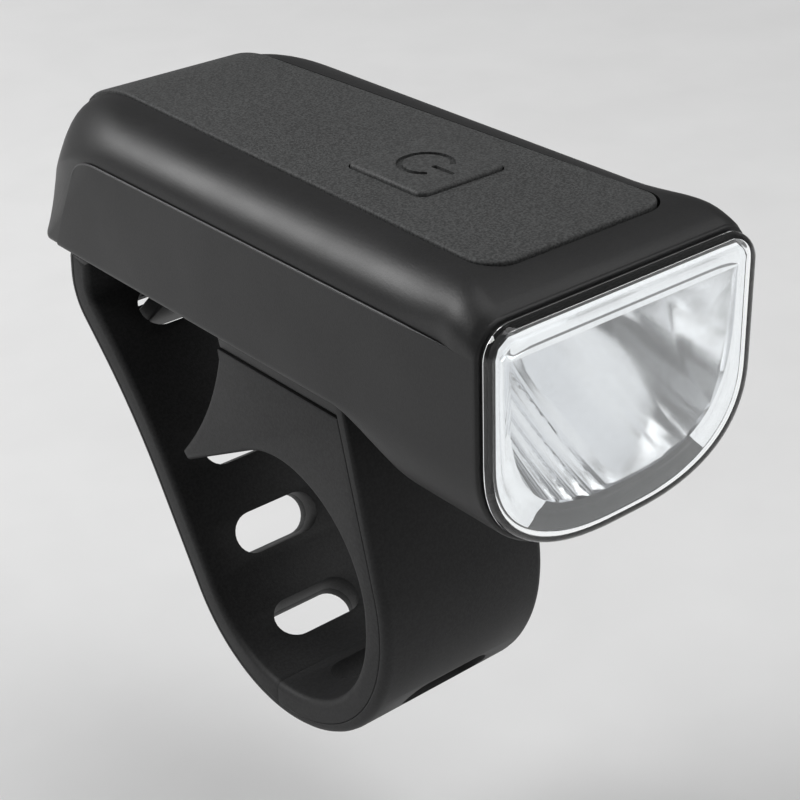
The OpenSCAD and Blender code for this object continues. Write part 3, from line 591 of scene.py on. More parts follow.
def power(name, description, value):
    return bpy.props.FloatProperty(name=name, description=description, default=value, unit="POWER")


def colour(name, description, value):
    return bpy.props.FloatVectorProperty(
        name=name, description=description, default=value, subtype="COLOR", size=3, min=0, max=1)


class HeadlightSizes(bpy.types.PropertyGroup):
    front_rim: length("Front rim", "Radius of the housing's front edge", 0.0004)
    seam_fade: length("Seam fade", "Distance behind the front edge where the side seam ends", 0.0035)
    seam_bead: length("Seam bead", "Radius of the lower shell's upper edge", 0.00014)
    strip_edge: length("Strip edge", "Radius along the rubber strip's edges", 0.00035)
    button_edge: length("Button edge", "Radius along the button's upper edge", 0.00045)
    sign_radius: length("Sign radius", "Radius of the power sign's ring", 0.0031)
    sign_line: length("Sign line", "Width of the power sign's lines", 0.00075)
    sign_depth: length("Sign depth", "Depth of the engraved power sign", 0.00035)
    flute_depth: length("Flute depth", "Depth of the reflector's flutes", 0.00035)
    flute_pitch: length("Flute pitch", "Spacing of the reflector's flutes", 0.0023)
    saddle_edge: length("Saddle edge", "Radius along the saddle's open edges", 0.001)
    strap_edge: length("Strap edge", "Radius along the strap's outer edges", 0.00125)
    base_edge: length("Base edge", "Radius along the mount base's edges", 0.0005)


class HeadlightFinish(bpy.types.PropertyGroup):
    shell: colour("Shell", "Soft-touch upper housing", (0.010, 0.010, 0.0104))
    side: colour("Side", "Lower housing and side panels", (0.0095, 0.0095, 0.0099))
    # The seam edge colour is a painted highlight: the bead along the side seam is coloured much lighter than the black
    # shell so that it reads as a bright line.
    edge: colour("Seam edge", "Polished edge along the side seam", (0.05, 0.05, 0.052))
    strip: colour("Strip", "Rubber strip, button and charging flap", (0.052, 0.053, 0.053))
    lens: colour("Lens", "Clear lens plastic", (0.97, 0.985, 0.99))
    mirror: colour("Mirror", "Reflector coating", (0.95, 0.955, 0.965))
    step: colour("Step", "Satin step below the reflector's lip", (0.13, 0.133, 0.135))
    saddle: colour("Saddle", "Rubber saddle and inner strap layer", (0.017, 0.017, 0.0175))
    strap: colour("Strap", "Outer strap band", (0.014, 0.014, 0.0145))
    base: colour("Base", "Mount base and hook", (0.008, 0.008, 0.0085))
    floor: colour("Floor", "Studio floor", (0.80, 0.80, 0.80))


class HeadlightStudio(bpy.types.PropertyGroup):
    focal: bpy.props.FloatProperty(
        name="Focal length", description="Camera lens on a 36 mm frame, in millimetres", default=82.2)
    key: power("Key light", "Softbox behind and to the left", 6.5)
    top: power("Top light", "Softbox overhead", 2.2)
    fill: power("Fill light", "Softbox in front and to the right", 2.6)
    room: bpy.props.FloatProperty(
        name="Room light", description="Even light from all round", default=0.2, min=0)
    backdrop: bpy.props.FloatProperty(
        name="Backdrop", description="Brightness of the pale backdrop, where 1 is white", default=0.68, min=0, max=1)


def chosen(context):
    """The sizes and the finishes that the user has set."""
    return context.scene.headlight_sizes, context.scene.headlight_finish


def mm(value):
    return value / MM


class HEADLIGHT_OT_shells(bpy.types.Operator):
    """Build the two halves of the housing"""
    bl_idname = "headlight.shells"
    bl_label = "Housing shells"

    def execute(self, context):
        sizes, tints = chosen(context)
        rim, fade = mm(sizes.front_rim), mm(sizes.seam_fade)

        def upper_width(d):
            return HALF_W - SEAM_STEP * smooth((d - fade) / 3)

        def inner_width(d):
            return HALF_W - SEAM_STEP

        upper = loft("shell_upper", housing_rings(upper_width, rim=rim))
        carve(upper, "DIFFERENCE",
              loft("cavity", housing_rings(inner_width, WALL, LID_T)),
              prism_x("seam", seam_outline(SEAM_GAP, fade)),
              self.strip_space(),
              self.flap_space(),
              prism_y("port_hole", oval(PORT_W, PORT_H, 0.4), PORT_Y - 7.3, REAR + WALL),
              prism_z("stem_hole", arc((0, BUTTON_Y), 2, 0, 345, 23), TOP - 8, TOP + 1))
        soften(upper)
        place(upper, "lamp", "soft_touch_shell",
              ready("soft_touch_shell", lambda n: finish(n, tints.shell, 0.44, 5200, 0.014, 0.2, 0.2, specular=0.42)),
              "upper_housing")

        lower = loft("shell_lower", housing_rings(lambda d: HALF_W, rim=rim))
        bead = self.seam_bead(lower, mm(sizes.seam_bead), fade)
        carve(lower, "DIFFERENCE", loft("cavity", housing_rings(inner_width, WALL, LID_T)))
        carve(lower, "INTERSECT", prism_x("seam", seam_outline(0)))
        for x in (-BOSS_X, BOSS_X):
            for y in (BOSS_FRONT, BOSS_REAR):
                carve(lower, "DIFFERENCE", prism_z("screw_hole", arc((x, y), 2, 0, 345, 23), BELLY - 1, BELLY + HEAD_H))
        soften(lower)
        place(lower, "lamp", "side_shell",
              ready("side_shell", lambda n: finish(n, tints.side, 0.46, 5200, 0.014, 0.2, 0.2, specular=0.38)),
              "lower_housing")
        # The seam bead gets a lighter colour, a painted highlight along the lower shell's upper edge.
        place(soften(bead), "lamp", "side_shell",
              ready("seam_highlight_edge", lambda n: finish(n, tints.edge, 0.36, 4200, 0.004, 0.1, 0.2)))
        return {"FINISHED"}

    @staticmethod
    def seam_bead(form, r, fade):
        """The rounded upper edge of the lower shell on both sides, laid on its outer form."""
        line = seam_outline(0)[2:-1]
        y_end, z_end = line[-1]
        line += [(y, z_end) for y in steps(y_end, FRONT + fade, 40)[1:]]
        bodies = []
        for side in (1, -1):
            path = []
            for y, z in line:
                hit, at, _, _ = form.ray_cast(Vector((side * 0.06, y * MM, (z - 0.3 * r) * MM)), Vector((-side, 0, 0)))
                if hit:
                    path.append(Vector((at.x / MM - side * 0.6 * r, y, z)))
            rings = []
            for i, p in enumerate(path):
                run = (path[min(i + 1, len(path) - 1)] - path[max(i - 1, 0)]).normalized()
                out = Vector((side, 0, 0))
                out = (out - run * out.dot(run)).normalized()
                rise = run.cross(out)
                fine = r * (smooth((len(path) - 1 - i) / 6) * 0.9 + 0.1)
                rings.append([tuple(p + fine * (math.cos(t) * out + math.sin(t) * rise))
                              for t in (2 * math.pi * k / 10 for k in range(10))])
            bodies.append(rings)
        return loft("seam_highlight_edge", *bodies)

    @staticmethod
    def strip_space():
        """The strip's recess with its gap, open upward."""
        rings = []
        for y, at in strip_path(FLAP_ANGLE - 1, FRONT + PAD_START - PAD_GAP):
            half = max(strip_half(y, PAD_GAP), 0.5)
            low, high = at(PAD_T), at(-4)
            rings.append([(half, *low), (half, *high), (-half, *high), (-half, *low)])
        return loft("strip_space", rings)

    @staticmethod
    def flap_space():
        """The flap's recess with its gap, open to the rear."""
        half = PAD_W_REAR / 2 + PAD_GAP
        depth = PAD_T + SEAM_GAP
        rings = []
        for a in steps(FLAP_ANGLE, 0, 10):
            deep, open_air = roll_point(a, depth), roll_point(a, -4)
            rings.append([(half, *deep), (half, *open_air), (-half, *open_air), (-half, *deep)])
        low = FLAP_LOW - PAD_GAP
        corner = [low + PAD_CORNER * (1 - sin(t)) for t in steps(0, 90, 8)[1:]]
        for z in steps(ROLL_C[1], low + PAD_CORNER, 3)[1:] + corner:
            drop = max(low + PAD_CORNER - z, 0)
            w = half - PAD_CORNER + math.sqrt(max(PAD_CORNER ** 2 - drop ** 2, 0))
            deep, open_air = FLAP_FACE - depth, FLAP_FACE + 4
            rings.append([(w, deep, z), (w, open_air, z), (-w, open_air, z), (-w, deep, z)])
        return loft("flap_space", rings)


class HEADLIGHT_OT_strip(bpy.types.Operator):
    """Build the rubber strip along the top and the charging flap at its end"""
    bl_idname = "headlight.strip"
    bl_label = "Strip and flap"

    def execute(self, context):
        sizes, tints = chosen(context)
        edge = mm(sizes.strip_edge)
        rubber = ready("strip_rubber", lambda n: finish(n, tints.strip, 0.66, 6500, 0.03, 0.45, 0.12, specular=0.35))
        start = FRONT + PAD_START
        rings = []
        for y, at in strip_path(FLAP_ANGLE, start):
            ahead = min(max(edge - (y - start), 0), edge)
            top = edge - math.sqrt(max(edge * edge - ahead * ahead, 0))
            rings.append(edge_ring(max(strip_half(y), 1), edge, top, PAD_T, at))
        strip = loft("top_strip", rings)
        hole = rounded_box(BUTTON_W + 2 * BUTTON_GAP, BUTTON_L + 2 * BUTTON_GAP, BUTTON_CORNER + BUTTON_GAP)
        carve(strip, "DIFFERENCE", prism_z("button_hole", [(x, y + BUTTON_Y) for x, y in hole], TOP - 6, TOP + 4))
        place(soften(strip), "lamp", "strip_rubber", rubber, "top_pad")

        half = PAD_W_REAR / 2 - 0.05
        rings = [edge_ring(half, edge, 0, PAD_T, lambda d, a=a: roll_point(a, d)) for a in steps(FLAP_ANGLE, 0, 12)]
        for z in steps(ROLL_C[1], FLAP_LOW + PAD_CORNER, 4)[1:] + [FLAP_LOW + PAD_CORNER * (1 - sin(t))
                                                                  for t in (12, 25, 38, 50, 60, 70, 78, 84, 88, 90)]:
            drop = max(FLAP_LOW + PAD_CORNER - z, 0)
            w = half - PAD_CORNER + math.sqrt(max(PAD_CORNER ** 2 - drop ** 2, 0))
            near = min(max(edge - (z - FLAP_LOW), 0), edge)
            top = edge - math.sqrt(max(edge * edge - near * near, 0))
            rings.append(edge_ring(w, edge, top, PAD_T, lambda d, z=z: (FLAP_FACE - d, z)))
        face = FLAP_FACE - PAD_T
        plug = [[(x, face - PLUG_L * t, z) for x, z in oval(PORT_W, PORT_H, -0.45 - g)]
                for t, g in ((-0.3, 0), (0, 0), (0.8, 0), (1, 0.2))]
        place(soften(loft("charging_flap", rings, plug)), "flap", "strip_rubber", rubber, "port_flap")
        return {"FINISHED"}


class HEADLIGHT_OT_button(bpy.types.Operator):
    """Build the power button with its engraved sign"""
    bl_idname = "headlight.button"
    bl_label = "Power button"

    def execute(self, context):
        sizes, tints = chosen(context)
        plan = [(x, y + BUTTON_Y) for x, y in rounded_box(BUTTON_W, BUTTON_L, BUTTON_CORNER, 8)]
        high = PAD_TOP + BUTTON_PROUD
        button = loft("power_key", plan_rings(plan, BUTTON_LOW, high, mm(sizes.button_edge), 5))
        r, line, depth = mm(sizes.sign_radius), mm(sizes.sign_line) / 2, mm(sizes.sign_depth)
        centre = (0, BUTTON_Y)
        ring = arc(centre, r + line, -52, 232, 48) + arc(centre, r - line, 232, -52, 48)
        bar = [(x, y + BUTTON_Y - r + 0.1) for x, y in rounded_box(2 * line, 3.6, line * 0.9)]
        carve(button, "DIFFERENCE", prism_z("sign_ring", ring, high - depth, high + 1),
              prism_z("sign_bar", bar, high - depth, high + 1))
        soften(button)
        place(button, "button", "strip_rubber",
              ready("button_rubber", lambda n: finish(n, [c * 1.05 for c in tints.strip], 0.6, 6500, 0.025, 0.4, 0.12, specular=0.4)),
              "power_button")
        return {"FINISHED"}


class HEADLIGHT_OT_optics(bpy.types.Operator):
    """Build the clear lens and the reflector behind it"""
    bl_idname = "headlight.optics"
    bl_label = "Lens and reflector"

    def execute(self, context):
        sizes, tints = chosen(context)
        place(self.lens(), "lamp", "clear_lens",
              ready("clear_lens", lambda n: clear_plastic(n, tints.lens)), "front_lens")
        mirror = ready("mirror_coat", lambda n: finish(n, tints.mirror, 0.14, 1500, 0.002, 0.01, 0.04, metallic=1.0))
        satin = ready("satin_step", lambda n: finish(n, tints.step, 0.5, 1500, 0.004, 0.05, 0.1))
        reflector = self.reflector(mm(sizes.flute_depth), mm(sizes.flute_pitch))
        place(reflector, "lamp", "mirror_coat", mirror, "reflector")
        reflector.data.materials.append(satin)
        for face in reflector.data.polygons:
            x, y, z = (mm(c) for c in face.center)
            below_lip = ROOF_Z - BOWL_B / 3 - z > abs(x + 1) * 0.95
            if below_lip and y < MIRROR_RIM + RIM_T * 0.9 and face.normal.y < -0.3:
                face.material_index = 1
        return {"FINISHED"}

    @staticmethod
    def front(inset):
        """Outline of the housing's front edge, moved inward."""
        return section(0, HALF_W, inset, 0, 24)

    def lens(self):
        """An open cap with a round rim and an even wall."""
        def rounded(r, wall, angles):
            return [ring_at(LENS_Y + wall + r * (1 - sin(t)),
                            self.front(LENS_INSET + wall + r * (1 - cos(t)))) for t in angles]

        r = LENS_PROUD - GASKET_T - 0.4
        back = FRONT - GASKET_T
        rings = rounded(r, 0, steps(90, 0, 8))
        rings += [ring_at(back, self.front(LENS_INSET)), ring_at(back, self.front(LENS_INSET + LENS_T))]
        rings += rounded(r - LENS_T, LENS_T, steps(0, 90, 6))
        return soften(loft("lens_cap", rings), 40)

    def reflector(self, depth, pitch):
        """A bowl under a flat roof, with flutes on its left and a rim that fills the lens."""
        def dish(a, b, power, top, n=180, roof=16):
            outline = []
            for t in steps(183, 357, n):
                c, s = heading(t)
                outline.append((a * math.copysign(abs(c) ** (2 / power), c), ROOF_Z - b * abs(s) ** (2 / power)))
            return outline + [(a * (1 - 2 * i / roof), top) for i in range(roof + 1)]

        def bowl(edge, u, back, fluted):
            ring = []
            for x, z in edge:
                under = z < ROOF_Z
                qx, qz = x * u, ROOF_Z + (z - ROOF_Z) * u if under else z + ROOF_FLARE * smooth((u - 0.75) * 4)
                y = mix(VERTEX_Y, MIRROR_RIM + RIM_T, u * u)
                if fluted and under:
                    drop = ROOF_Z - qz
                    rib = smooth((-qx - 0.4) / 1.2) * smooth((drop - 6) / 4)
                    facet = smooth((qx - 5.5) / 1.5) * smooth((drop - 3) / 4) * 0.5
                    y += depth * (rib * (abs(math.sin(math.pi * (qx + 0.6) / pitch)) * 2 - 1)
                                  + facet * (abs(math.sin(math.pi * (qx - 6) / (1.7 * pitch))) * 2 - 1))
                ring.append((qx, max(y, MIRROR_RIM) + back, qz))
            return ring

        def spread(edge, outline):
            """An outline met along lines from the bowl's middle, so that its points pair up with the bowl's edge."""
            middle = (0, ROOF_Z - BOWL_B / 3)
            met = []
            for point in edge:
                ray = plus(point, middle, -1)
                far = 0
                for a, b in zip(outline, outline[1:] + outline[:1]):
                    side, gap = plus(b, a, -1), plus(a, middle, -1)
                    cross = ray[0] * side[1] - ray[1] * side[0]
                    if abs(cross) > 1e-9 and -1e-6 <= (gap[0] * ray[1] - gap[1] * ray[0]) / cross <= 1 + 1e-6:
                        far = max(far, (gap[0] * side[1] - gap[1] * side[0]) / cross)
                met.append(plus(middle, ray, far))
            return met

        inner, outer = dish(BOWL_A, BOWL_B, 3, ROOF_Z), dish(BOWL_A + BOWL_T, BOWL_B + BOWL_T, 3, ROOF_Z + MIRROR_T)
        edge = [(x, z) for x, _, z in bowl(inner, 1, 0, False)]
        wide = spread(edge, self.front(LENS_INSET + LENS_T + RIM_FIT))
        mouth = spread(edge, section(0, HALF_W - SEAM_STEP, WALL + RIM_FIT, LID_T, 24))
        rings = [bowl(inner, u, 0, True) for u in steps(0.03, 1, 120)]
        rings += [ring_at(MIRROR_RIM + RIM_T * y, [(mix(a, c, t), mix(b, d, t)) for (a, b), (c, d) in zip(edge, wide)])
                  for t, y in ((0, 0), (0.25, 0), (0.32, 0.3), (0.45, 0.45), (0.6, 0.3), (0.7, 0), (1, 0))]
        rings += [ring_at(MIRROR_RIM + RIM_T, p) for p in (wide, mouth)] + [ring_at(MIRROR_RIM + MIRROR_T, mouth)]
        rings += [bowl(outer, u, MIRROR_T, False) for u in steps(1, 0.05, 16)]
        piece = loft("mirror_bowl", rings)
        hole = [(x, y + LED_Y) for x, y in rounded_box(5, 5, 0.4)]
        carve(piece, "DIFFERENCE", prism_z("emitter_hole", hole, ROOF_Z - 2.4, ROOF_Z + 2.4))
        return soften(piece, 24)


class HEADLIGHT_OT_mount(bpy.types.Operator):
    """Build the mount base with its arm and hook"""
    bl_idname = "headlight.mount"
    bl_label = "Mount base"

    def execute(self, context):
        sizes, tints = chosen(context)
        edge = mm(sizes.base_edge)
        block = [(front_line(SADDLE_TOP, LINER_T), SADDLE_TOP), (SADDLE_REAR, SADDLE_TOP),
                 (SADDLE_REAR + 1.5, BELLY - ARM_T), (SADDLE_REAR + 1.5, BELLY), (front_line(BELLY, LINER_T), BELLY)]
        a = EYE_ANGLE
        out, up = normal(a), heading(a)
        root, tip = plus(tail_point(EYE_AT, 0), out, -1.6), tail_point(EYE_AT, STRAP_T + 1.4)
        half = PEG_T / 2
        back = plus(tip, out, -1.2)
        hook = [(root[0] - 4.5, BELLY), (root[0] + 0.5, BELLY), plus(root, up, half), plus(back, up, half),
                plus(back, up, half + LIP_T), plus(tip, up, half + LIP_T / 2), plus(tip, up, -half),
                plus(plus(root, up, -half), out, -2.4)]
        arm_end = tail_point(EYE_AT, 0)[0] - ARM_GAP
        arm = [(x, y + (SADDLE_REAR + arm_end) / 2) for x, y in rounded_box(ARM_W, arm_end - SADDLE_REAR, 2)]
        piece = loft("base_block", side_rings(block, STRAP_W / 2 - 0.3, [edge] * len(block)),
                     plan_rings(arm, BELLY - ARM_T, BELLY, 0.05, below=edge),
                     side_rings(hook, HOOK_W / 2, [edge] * len(hook)))
        place(soften(piece), "lamp", "base_plastic",
              ready("base_plastic", lambda n: finish(n, tints.base, 0.5, 3500, 0.015, 0.15, 0.15)), "mount_base")
        return {"FINISHED"}


def saddle_rubber(tints):
    return ready("saddle_rubber", lambda n: finish(n, tints.saddle, 0.58, 4600, 0.02, 0.25, 0.2, specular=0.35))


class HEADLIGHT_OT_saddle(bpy.types.Operator):
    """Build the rubber saddle with the strap's inner layer"""
    bl_idname = "headlight.saddle"
    bl_label = "Saddle"

    def execute(self, context):
        sizes, tints = chosen(context)
        edge, crack = mm(sizes.saddle_edge), CRACK
        outline, radii, hold = [], [], []

        def add(points, r, side=0):
            outline.extend(points)
            radii.extend([r] * len(points))
            hold.extend([side] * len(points))

        curve = front_curve(LINER_T)
        add(curve[:1], crack, 1)
        add(curve[1:], crack)
        add([(front_line(SADDLE_TOP, LINER_T), SADDLE_TOP)], crack)
        rear = bezier((SADDLE_REAR, SADDLE_TOP), (SADDLE_REAR + 2.6, mix(SADDLE_TIP[1], SADDLE_TOP, 0.5)),
                      plus(SADDLE_TIP, (1.2, 1.2)), 14)
        add(rear[:1], crack)
        add(rear[1:] + [SADDLE_TIP], edge)
        add(arc((0, 0), GRIP_R, 62, 180, 40), edge)
        inner = arc(BEND_C, BEND_FRONT, 180, 270, 30)
        add(inner[:-1], edge)
        add(inner[-1:], edge, -1)
        saddle = loft("saddle_body", side_rings(outline, STRAP_W / 2, radii, hold))
        carve(saddle, "DIFFERENCE", *front_slots())
        soften(saddle, bevel=SLOT_EDGE)
        place(saddle, "lamp", "saddle_rubber",
              saddle_rubber(tints), "saddle_grip")
        return {"FINISHED"}


def slot_cutter(p, a):
    """A round-ended slot through the strap, at a point with its heading."""
    side = (SLOT_W - SLOT_L) / 2
    plan = ([(side + x, y) for x, y in arc((0, 0), SLOT_L / 2, -90, 90, 14)]
            + [(x - side, y) for x, y in arc((0, 0), SLOT_L / 2, 90, 270, 14)])
    along, through = heading(a), normal(a)
    rings = [[(x, p[0] + y * along[0] + d * through[0], p[1] + y * along[1] + d * through[1]) for x, y in plan]
             for d in (-2 * STRAP_T, 2 * STRAP_T)]
    return loft("slot", rings)


def front_slots():
    places = [math.degrees((SLOT_START - i * SLOT_PITCH) / BEND_FRONT) for i in (1, 2)]
    return [slot_cutter(plus(BEND_C, normal(a), BEND_FRONT), a) for a in places]


def tail_slots():
    places = [SLOT_START + i * SLOT_PITCH for i in range(3)] + [EYE_AT]
    return [slot_cutter(tail_point(s, STRAP_T / 2), tail_heading(s)) for s in places]


class HEADLIGHT_OT_strap(bpy.types.Operator):
    """Build the outer strap band and the strap's tail"""
    bl_idname = "headlight.strap"
    bl_label = "Strap"

    def execute(self, context):
        sizes, tints = chosen(context)
        outer, inner, crack = mm(sizes.strap_edge), mm(sizes.saddle_edge), CRACK
        rubber = ready("strap_rubber", lambda n: finish(n, tints.strap, 0.54, 4600, 0.02, 0.25, 0.2, specular=0.35))
        liner = saddle_rubber(tints)
        top = BELLY - 1
        under, over = front_curve(LINER_T), front_curve(STRAP_T)
        outline = under + [(front_line(top, LINER_T), top), (front_line(top, STRAP_T), top)] + over[::-1]
        radii = [crack] * (len(under) + 2) + [outer] * len(over)
        hold = [1] + [0] * (len(outline) - 2) + [-1]
        band = loft("strap_outer", side_rings(outline, STRAP_W / 2, radii, hold))
        carve(band, "DIFFERENCE", *front_slots())
        place(soften(band, bevel=SLOT_EDGE), "lamp", "strap_rubber", rubber, "strap_band")

        for name, low, high, edges, material, slot in (
                ("tail_inner", 0, LINER_T, (inner, crack), liner, "saddle_rubber"),
                ("tail_outer", LINER_T, STRAP_T, (crack, outer), rubber, "strap_rubber")):
            near, far = tail_curve(low), tail_curve(high)
            outline = near + far[::-1]
            radii = [edges[0]] * len(near) + [edges[1]] * len(far)
            hold = [1] + [0] * (len(outline) - 2) + [-1]
            tail = loft(name, side_rings(outline, STRAP_W / 2, radii, hold))
            carve(tail, "DIFFERENCE", *tail_slots())
            soften(tail, bevel=SLOT_EDGE)
            tail.data.materials.clear()
            tail.data.materials.append(material)
            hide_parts("strap_tail")
            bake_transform(tail)
        return {"FINISHED"}


class HEADLIGHT_OT_screws(bpy.types.Operator):
    """Build the screws in the belly and in the mount's arm"""
    bl_idname = "headlight.screws"
    bl_label = "Screws"

    def execute(self, context):
        steel = ready("screw_steel",
                      lambda n: finish(n, (0.42, 0.42, 0.44), 0.34, 5000, 0.004, 0.06, 0.15, metallic=1.0))
        arm_end = tail_point(EYE_AT, 0)[0] - ARM_GAP
        mount_y = (SADDLE_REAR + arm_end) / 2 - 4
        belly = [(x, y) for x in (-BOSS_X, BOSS_X) for y in (BOSS_FRONT, BOSS_REAR)]
        arm = [(x * ARM_W / 4, mount_y) for x in (-1, 1)]
        for name, node, places, low, reach in (
                ("belly_screws", "housing_screws", belly, BELLY, 7),
                ("arm_screws", "mount_screws", arm, BELLY - ARM_T, ARM_T - HEAD_H + 2.6)):
            screws = loft(name, *[self.screw(x, y, low, reach) for x, y in places])
            place(soften(screws), "lamp", "screw_steel", steel, node)
        return {"FINISHED"}

    @staticmethod
    def screw(x, y, low, reach):
        """Rings of one screw, from its six-sided socket over the head to the tip."""
        def ring(r, z, six=False):
            points = []
            for t in range(0, 360, 10):
                s = r * cos(30) / cos(t % 60 - 30) if six else r
                points.append((x + s * cos(t), y + s * sin(t), low + z))
            return points

        head, shank = HEAD_D / 2, SCREW_D / 2
        return [ring(0.85, 0.55, True), ring(0.9, 0.05, True), ring(1.0, 0, True), ring(head - 0.3, 0),
                ring(head - 0.08, 0.1), ring(head, 0.3), ring(head, HEAD_H), ring(shank, HEAD_H),
                ring(shank, HEAD_H + reach - 0.4), ring(shank - 0.35, HEAD_H + reach)]


class HEADLIGHT_OT_inner(bpy.types.Operator):
    """Give the inner pieces their finishes and add the tongue in the charging port"""
    bl_idname = "headlight.inner"
    bl_label = "Inner pieces"

    def execute(self, context):
        plated = dict(metallic=1.0, depth=0.004, speckle=0.05)
        looks = {
            "housing_seal": ("seal_rubber", (0.03, 0.03, 0.03), 0.7, {}),
            "lens_gasket": ("seal_rubber", (0.03, 0.03, 0.03), 0.7, {}),
            "led_emitter": ("phosphor", (0.80, 0.62, 0.16), 0.45, dict(scale=6000)),
            "led_board": ("aluminium_core", (0.78, 0.78, 0.76), 0.4, dict(depth=0.004)),
            "heat_sink": ("sink_metal", (0.55, 0.56, 0.58), 0.38, plated),
            "led_leads": ("wire_yellow", (0.55, 0.36, 0.06), 0.5, {}),
            "battery_leads": ("wire_red", (0.42, 0.05, 0.03), 0.5, {}),
            "main_board": ("circuit_board", (0.02, 0.12, 0.06), 0.4, dict(scale=900, depth=0.01)),
            "switch_body": ("switch_plastic", (0.03, 0.03, 0.03), 0.45, {}),
            "switch_stem": ("stem_plastic", (0.30, 0.30, 0.31), 0.5, {}),
            "charging_port": ("plated_steel", (0.62, 0.62, 0.63), 0.28, plated),
            "battery_cell": ("cell_pouch", (0.40, 0.43, 0.46), 0.36, dict(scale=700, depth=0.02)),
            "battery_foam": ("foam", (0.09, 0.09, 0.10), 0.9, dict(scale=1800, depth=0.1, speckle=0.3)),
            "board_screws": ("screw_steel", (0.42, 0.42, 0.44), 0.34, plated),
        }
        for node, (name, tint, rough, extra) in looks.items():
            material = ready(name, lambda n: finish(n, tint, rough, **extra))
            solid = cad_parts[node]
            solid.data.materials.clear()
            solid.data.materials.append(material)
        plan = [(x, y + PORT_Y - 3.8) for x, y in rounded_box(6.6, 5.0, 0.5)]
        tongue = loft("port_tongue", plan_rings(plan, PORT_Z - 0.35, PORT_Z + 0.35, 0.12, below=0.12))
        place(soften(tongue), "lamp", "switch_plastic", bpy.data.materials["switch_plastic_finish"])
        return {"FINISHED"}


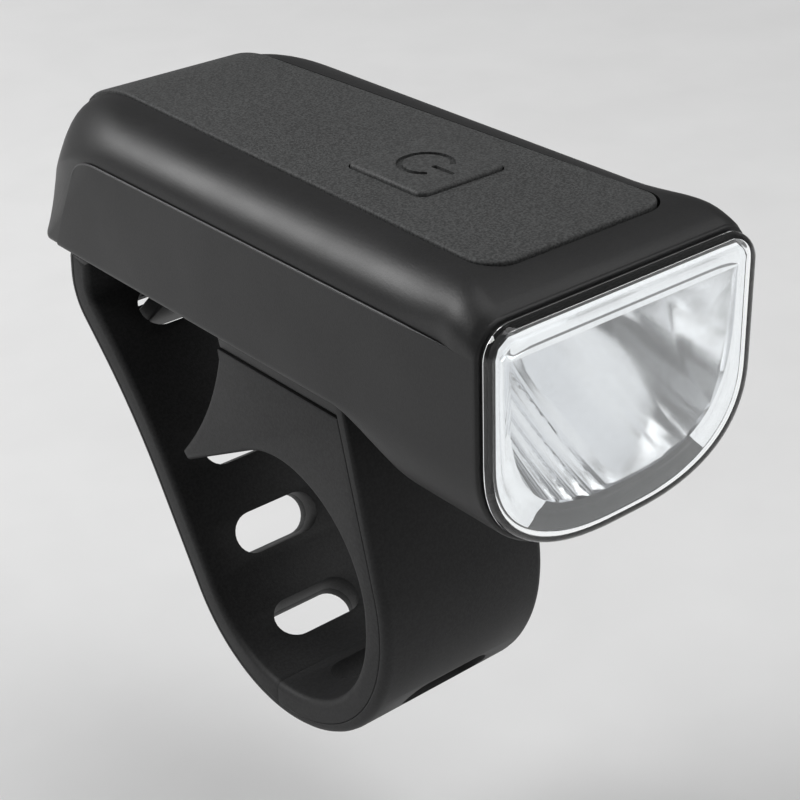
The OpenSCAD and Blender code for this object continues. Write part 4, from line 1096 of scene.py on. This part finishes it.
class HEADLIGHT_OT_stage(bpy.types.Operator):
    """Set up the floor, the lights and the camera"""
    bl_idname = "headlight.stage"
    bl_label = "Studio"

    def execute(self, context):
        scene, studio, tints = context.scene, context.scene.headlight_studio, context.scene.headlight_finish
        scene.view_settings.view_transform = "Standard"
        corners = [(x * FLOOR_HALF, y * FLOOR_HALF, FLOOR_Z) for x, y in ((-1, -1), (1, -1), (1, 1), (-1, 1))]
        floor = make_piece("floor", corners, [(0, 1, 2, 3)])
        floor.data.materials.append(self.floor_paint(tints.floor, studio.backdrop))

        world = scene.world or bpy.data.worlds.new("room")
        scene.world = world
        world.use_nodes = True
        nodes, links = world.node_tree.nodes, world.node_tree.links
        room, pale = nodes["Background"], nodes.new("ShaderNodeBackground")
        for light, strength in ((room, studio.room), (pale, studio.backdrop)):
            light.inputs["Color"].default_value = (1, 1, 1, 1)
            light.inputs["Strength"].default_value = strength
        path, seen = nodes.new("ShaderNodeLightPath"), nodes.new("ShaderNodeMixShader")
        links.new(path.outputs["Is Camera Ray"], seen.inputs[0])
        links.new(room.outputs[0], seen.inputs[1])
        links.new(pale.outputs[0], seen.inputs[2])
        links.new(seen.outputs[0], nodes["World Output"].inputs["Surface"])

        target = Vector((0, 0, 0.035))
        for name, at, size, power in (("key_light", (-0.46, 0.66, 0.58), 0.42, studio.key),
                                      ("top_light", (0.15, 0.05, 0.95), 0.6, studio.top),
                                      ("fill_light", (0.42, -0.46, 0.66), 0.75, studio.fill)):
            lamp = bpy.data.lights.new(name, "AREA")
            lamp.shape = "SQUARE"
            lamp.size = size
            lamp.energy = power
            holder = bpy.data.objects.new(name, lamp)
            holder.location = at
            holder.rotation_euler = (target - Vector(at)).to_track_quat("-Z", "Y").to_euler()
            scene.collection.objects.link(holder)

        azimuth, rise, roll = CAMERA_TURN
        behind = Vector((sin(azimuth) * cos(rise), -cos(azimuth) * cos(rise), sin(rise)))
        level = Vector((cos(azimuth), sin(azimuth), 0))
        upward = behind.cross(level)
        right = level * cos(roll) + upward * sin(roll)
        above = upward * cos(roll) - level * sin(roll)
        camera = bpy.data.objects.new("camera", bpy.data.cameras.new("camera"))
        camera.data.lens = studio.focal
        camera.data.sensor_width = 36
        camera.data.clip_start = 0.005
        turn = Matrix((right, above, behind)).transposed().to_4x4()
        camera.matrix_world = Matrix.Translation(CAMERA_AT) @ turn
        scene.collection.objects.link(camera)
        scene.camera = camera
        return {"FINISHED"}

    @staticmethod
    def floor_paint(tint, far):
        """Matt floor that fades into the pale backdrop, looks white through the lens and is open from below."""
        material = finish("floor_paint", tint, 0.7, 60, 0, 0.01, 0.02)
        nodes, links = material.node_tree.nodes, material.node_tree.links
        path, where = nodes.new("ShaderNodeLightPath"), nodes.new("ShaderNodeTexCoord")
        reach, fade = nodes.new("ShaderNodeVectorMath"), nodes.new("ShaderNodeMapRange")
        both = nodes.new("ShaderNodeMath")
        reach.operation = "LENGTH"
        fade.interpolation_type = "SMOOTHSTEP"
        fade.inputs["From Min"].default_value, fade.inputs["From Max"].default_value = 0.2, 0.9
        both.operation = "MULTIPLY"
        links.new(where.outputs["Object"], reach.inputs[0])
        links.new(reach.outputs["Value"], fade.inputs["Value"])
        links.new(fade.outputs["Result"], both.inputs[0])
        links.new(path.outputs["Is Camera Ray"], both.inputs[1])
        shader = nodes["Principled BSDF"].outputs[0]
        for strength, amount in ((far, both.outputs[0]), (1, path.outputs["Is Transmission Ray"])):
            glow, seen = nodes.new("ShaderNodeEmission"), nodes.new("ShaderNodeMixShader")
            glow.inputs["Strength"].default_value = strength
            links.new(amount, seen.inputs[0])
            links.new(shader, seen.inputs[1])
            links.new(glow.outputs[0], seen.inputs[2])
            shader = seen.outputs[0]
        side, clear = nodes.new("ShaderNodeNewGeometry"), nodes.new("ShaderNodeBsdfTransparent")
        seen = nodes.new("ShaderNodeMixShader")
        links.new(side.outputs["Backfacing"], seen.inputs[0])
        links.new(shader, seen.inputs[1])
        links.new(clear.outputs[0], seen.inputs[2])
        links.new(seen.outputs[0], nodes["Material Output"].inputs["Surface"])
        return material


PIECES = (HEADLIGHT_OT_stage, HEADLIGHT_OT_shells, HEADLIGHT_OT_strip, HEADLIGHT_OT_button, HEADLIGHT_OT_optics,
          HEADLIGHT_OT_mount, HEADLIGHT_OT_saddle, HEADLIGHT_OT_strap, HEADLIGHT_OT_screws, HEADLIGHT_OT_inner)


class HEADLIGHT_PT_pieces(bpy.types.Panel):
    """Pieces, sizes and finishes of the headlight"""
    bl_idname = "HEADLIGHT_PT_pieces"
    bl_label = "Headlight"
    bl_space_type = "VIEW_3D"
    bl_region_type = "UI"
    bl_category = "Headlight"

    def draw(self, context):
        for piece in PIECES:
            self.layout.operator(piece.bl_idname)
        for settings in (context.scene.headlight_sizes, context.scene.headlight_finish, context.scene.headlight_studio):
            box = self.layout.box()
            for name in settings.__annotations__:
                box.prop(settings, name)


SETTINGS = {"headlight_sizes": HeadlightSizes, "headlight_finish": HeadlightFinish, "headlight_studio": HeadlightStudio}


def register():
    for item in (*SETTINGS.values(), *PIECES, HEADLIGHT_PT_pieces):
        bpy.utils.register_class(item)
    for name, settings in SETTINGS.items():
        setattr(bpy.types.Scene, name, bpy.props.PointerProperty(type=settings))


def unregister():
    for name in SETTINGS:
        delattr(bpy.types.Scene, name)
    for item in (HEADLIGHT_PT_pieces, *reversed(PIECES), *SETTINGS.values()):
        bpy.utils.unregister_class(item)


def main():
    register()
    bpy.ops.headlight.stage()
    bpy.ops.headlight.shells()
    bpy.ops.headlight.strip()
    bpy.ops.headlight.button()
    bpy.ops.headlight.optics()
    bpy.ops.headlight.mount()
    bpy.ops.headlight.saddle()
    bpy.ops.headlight.strap()
    bpy.ops.headlight.screws()
    bpy.ops.headlight.inner()


if __name__ == "__main__":
    main()
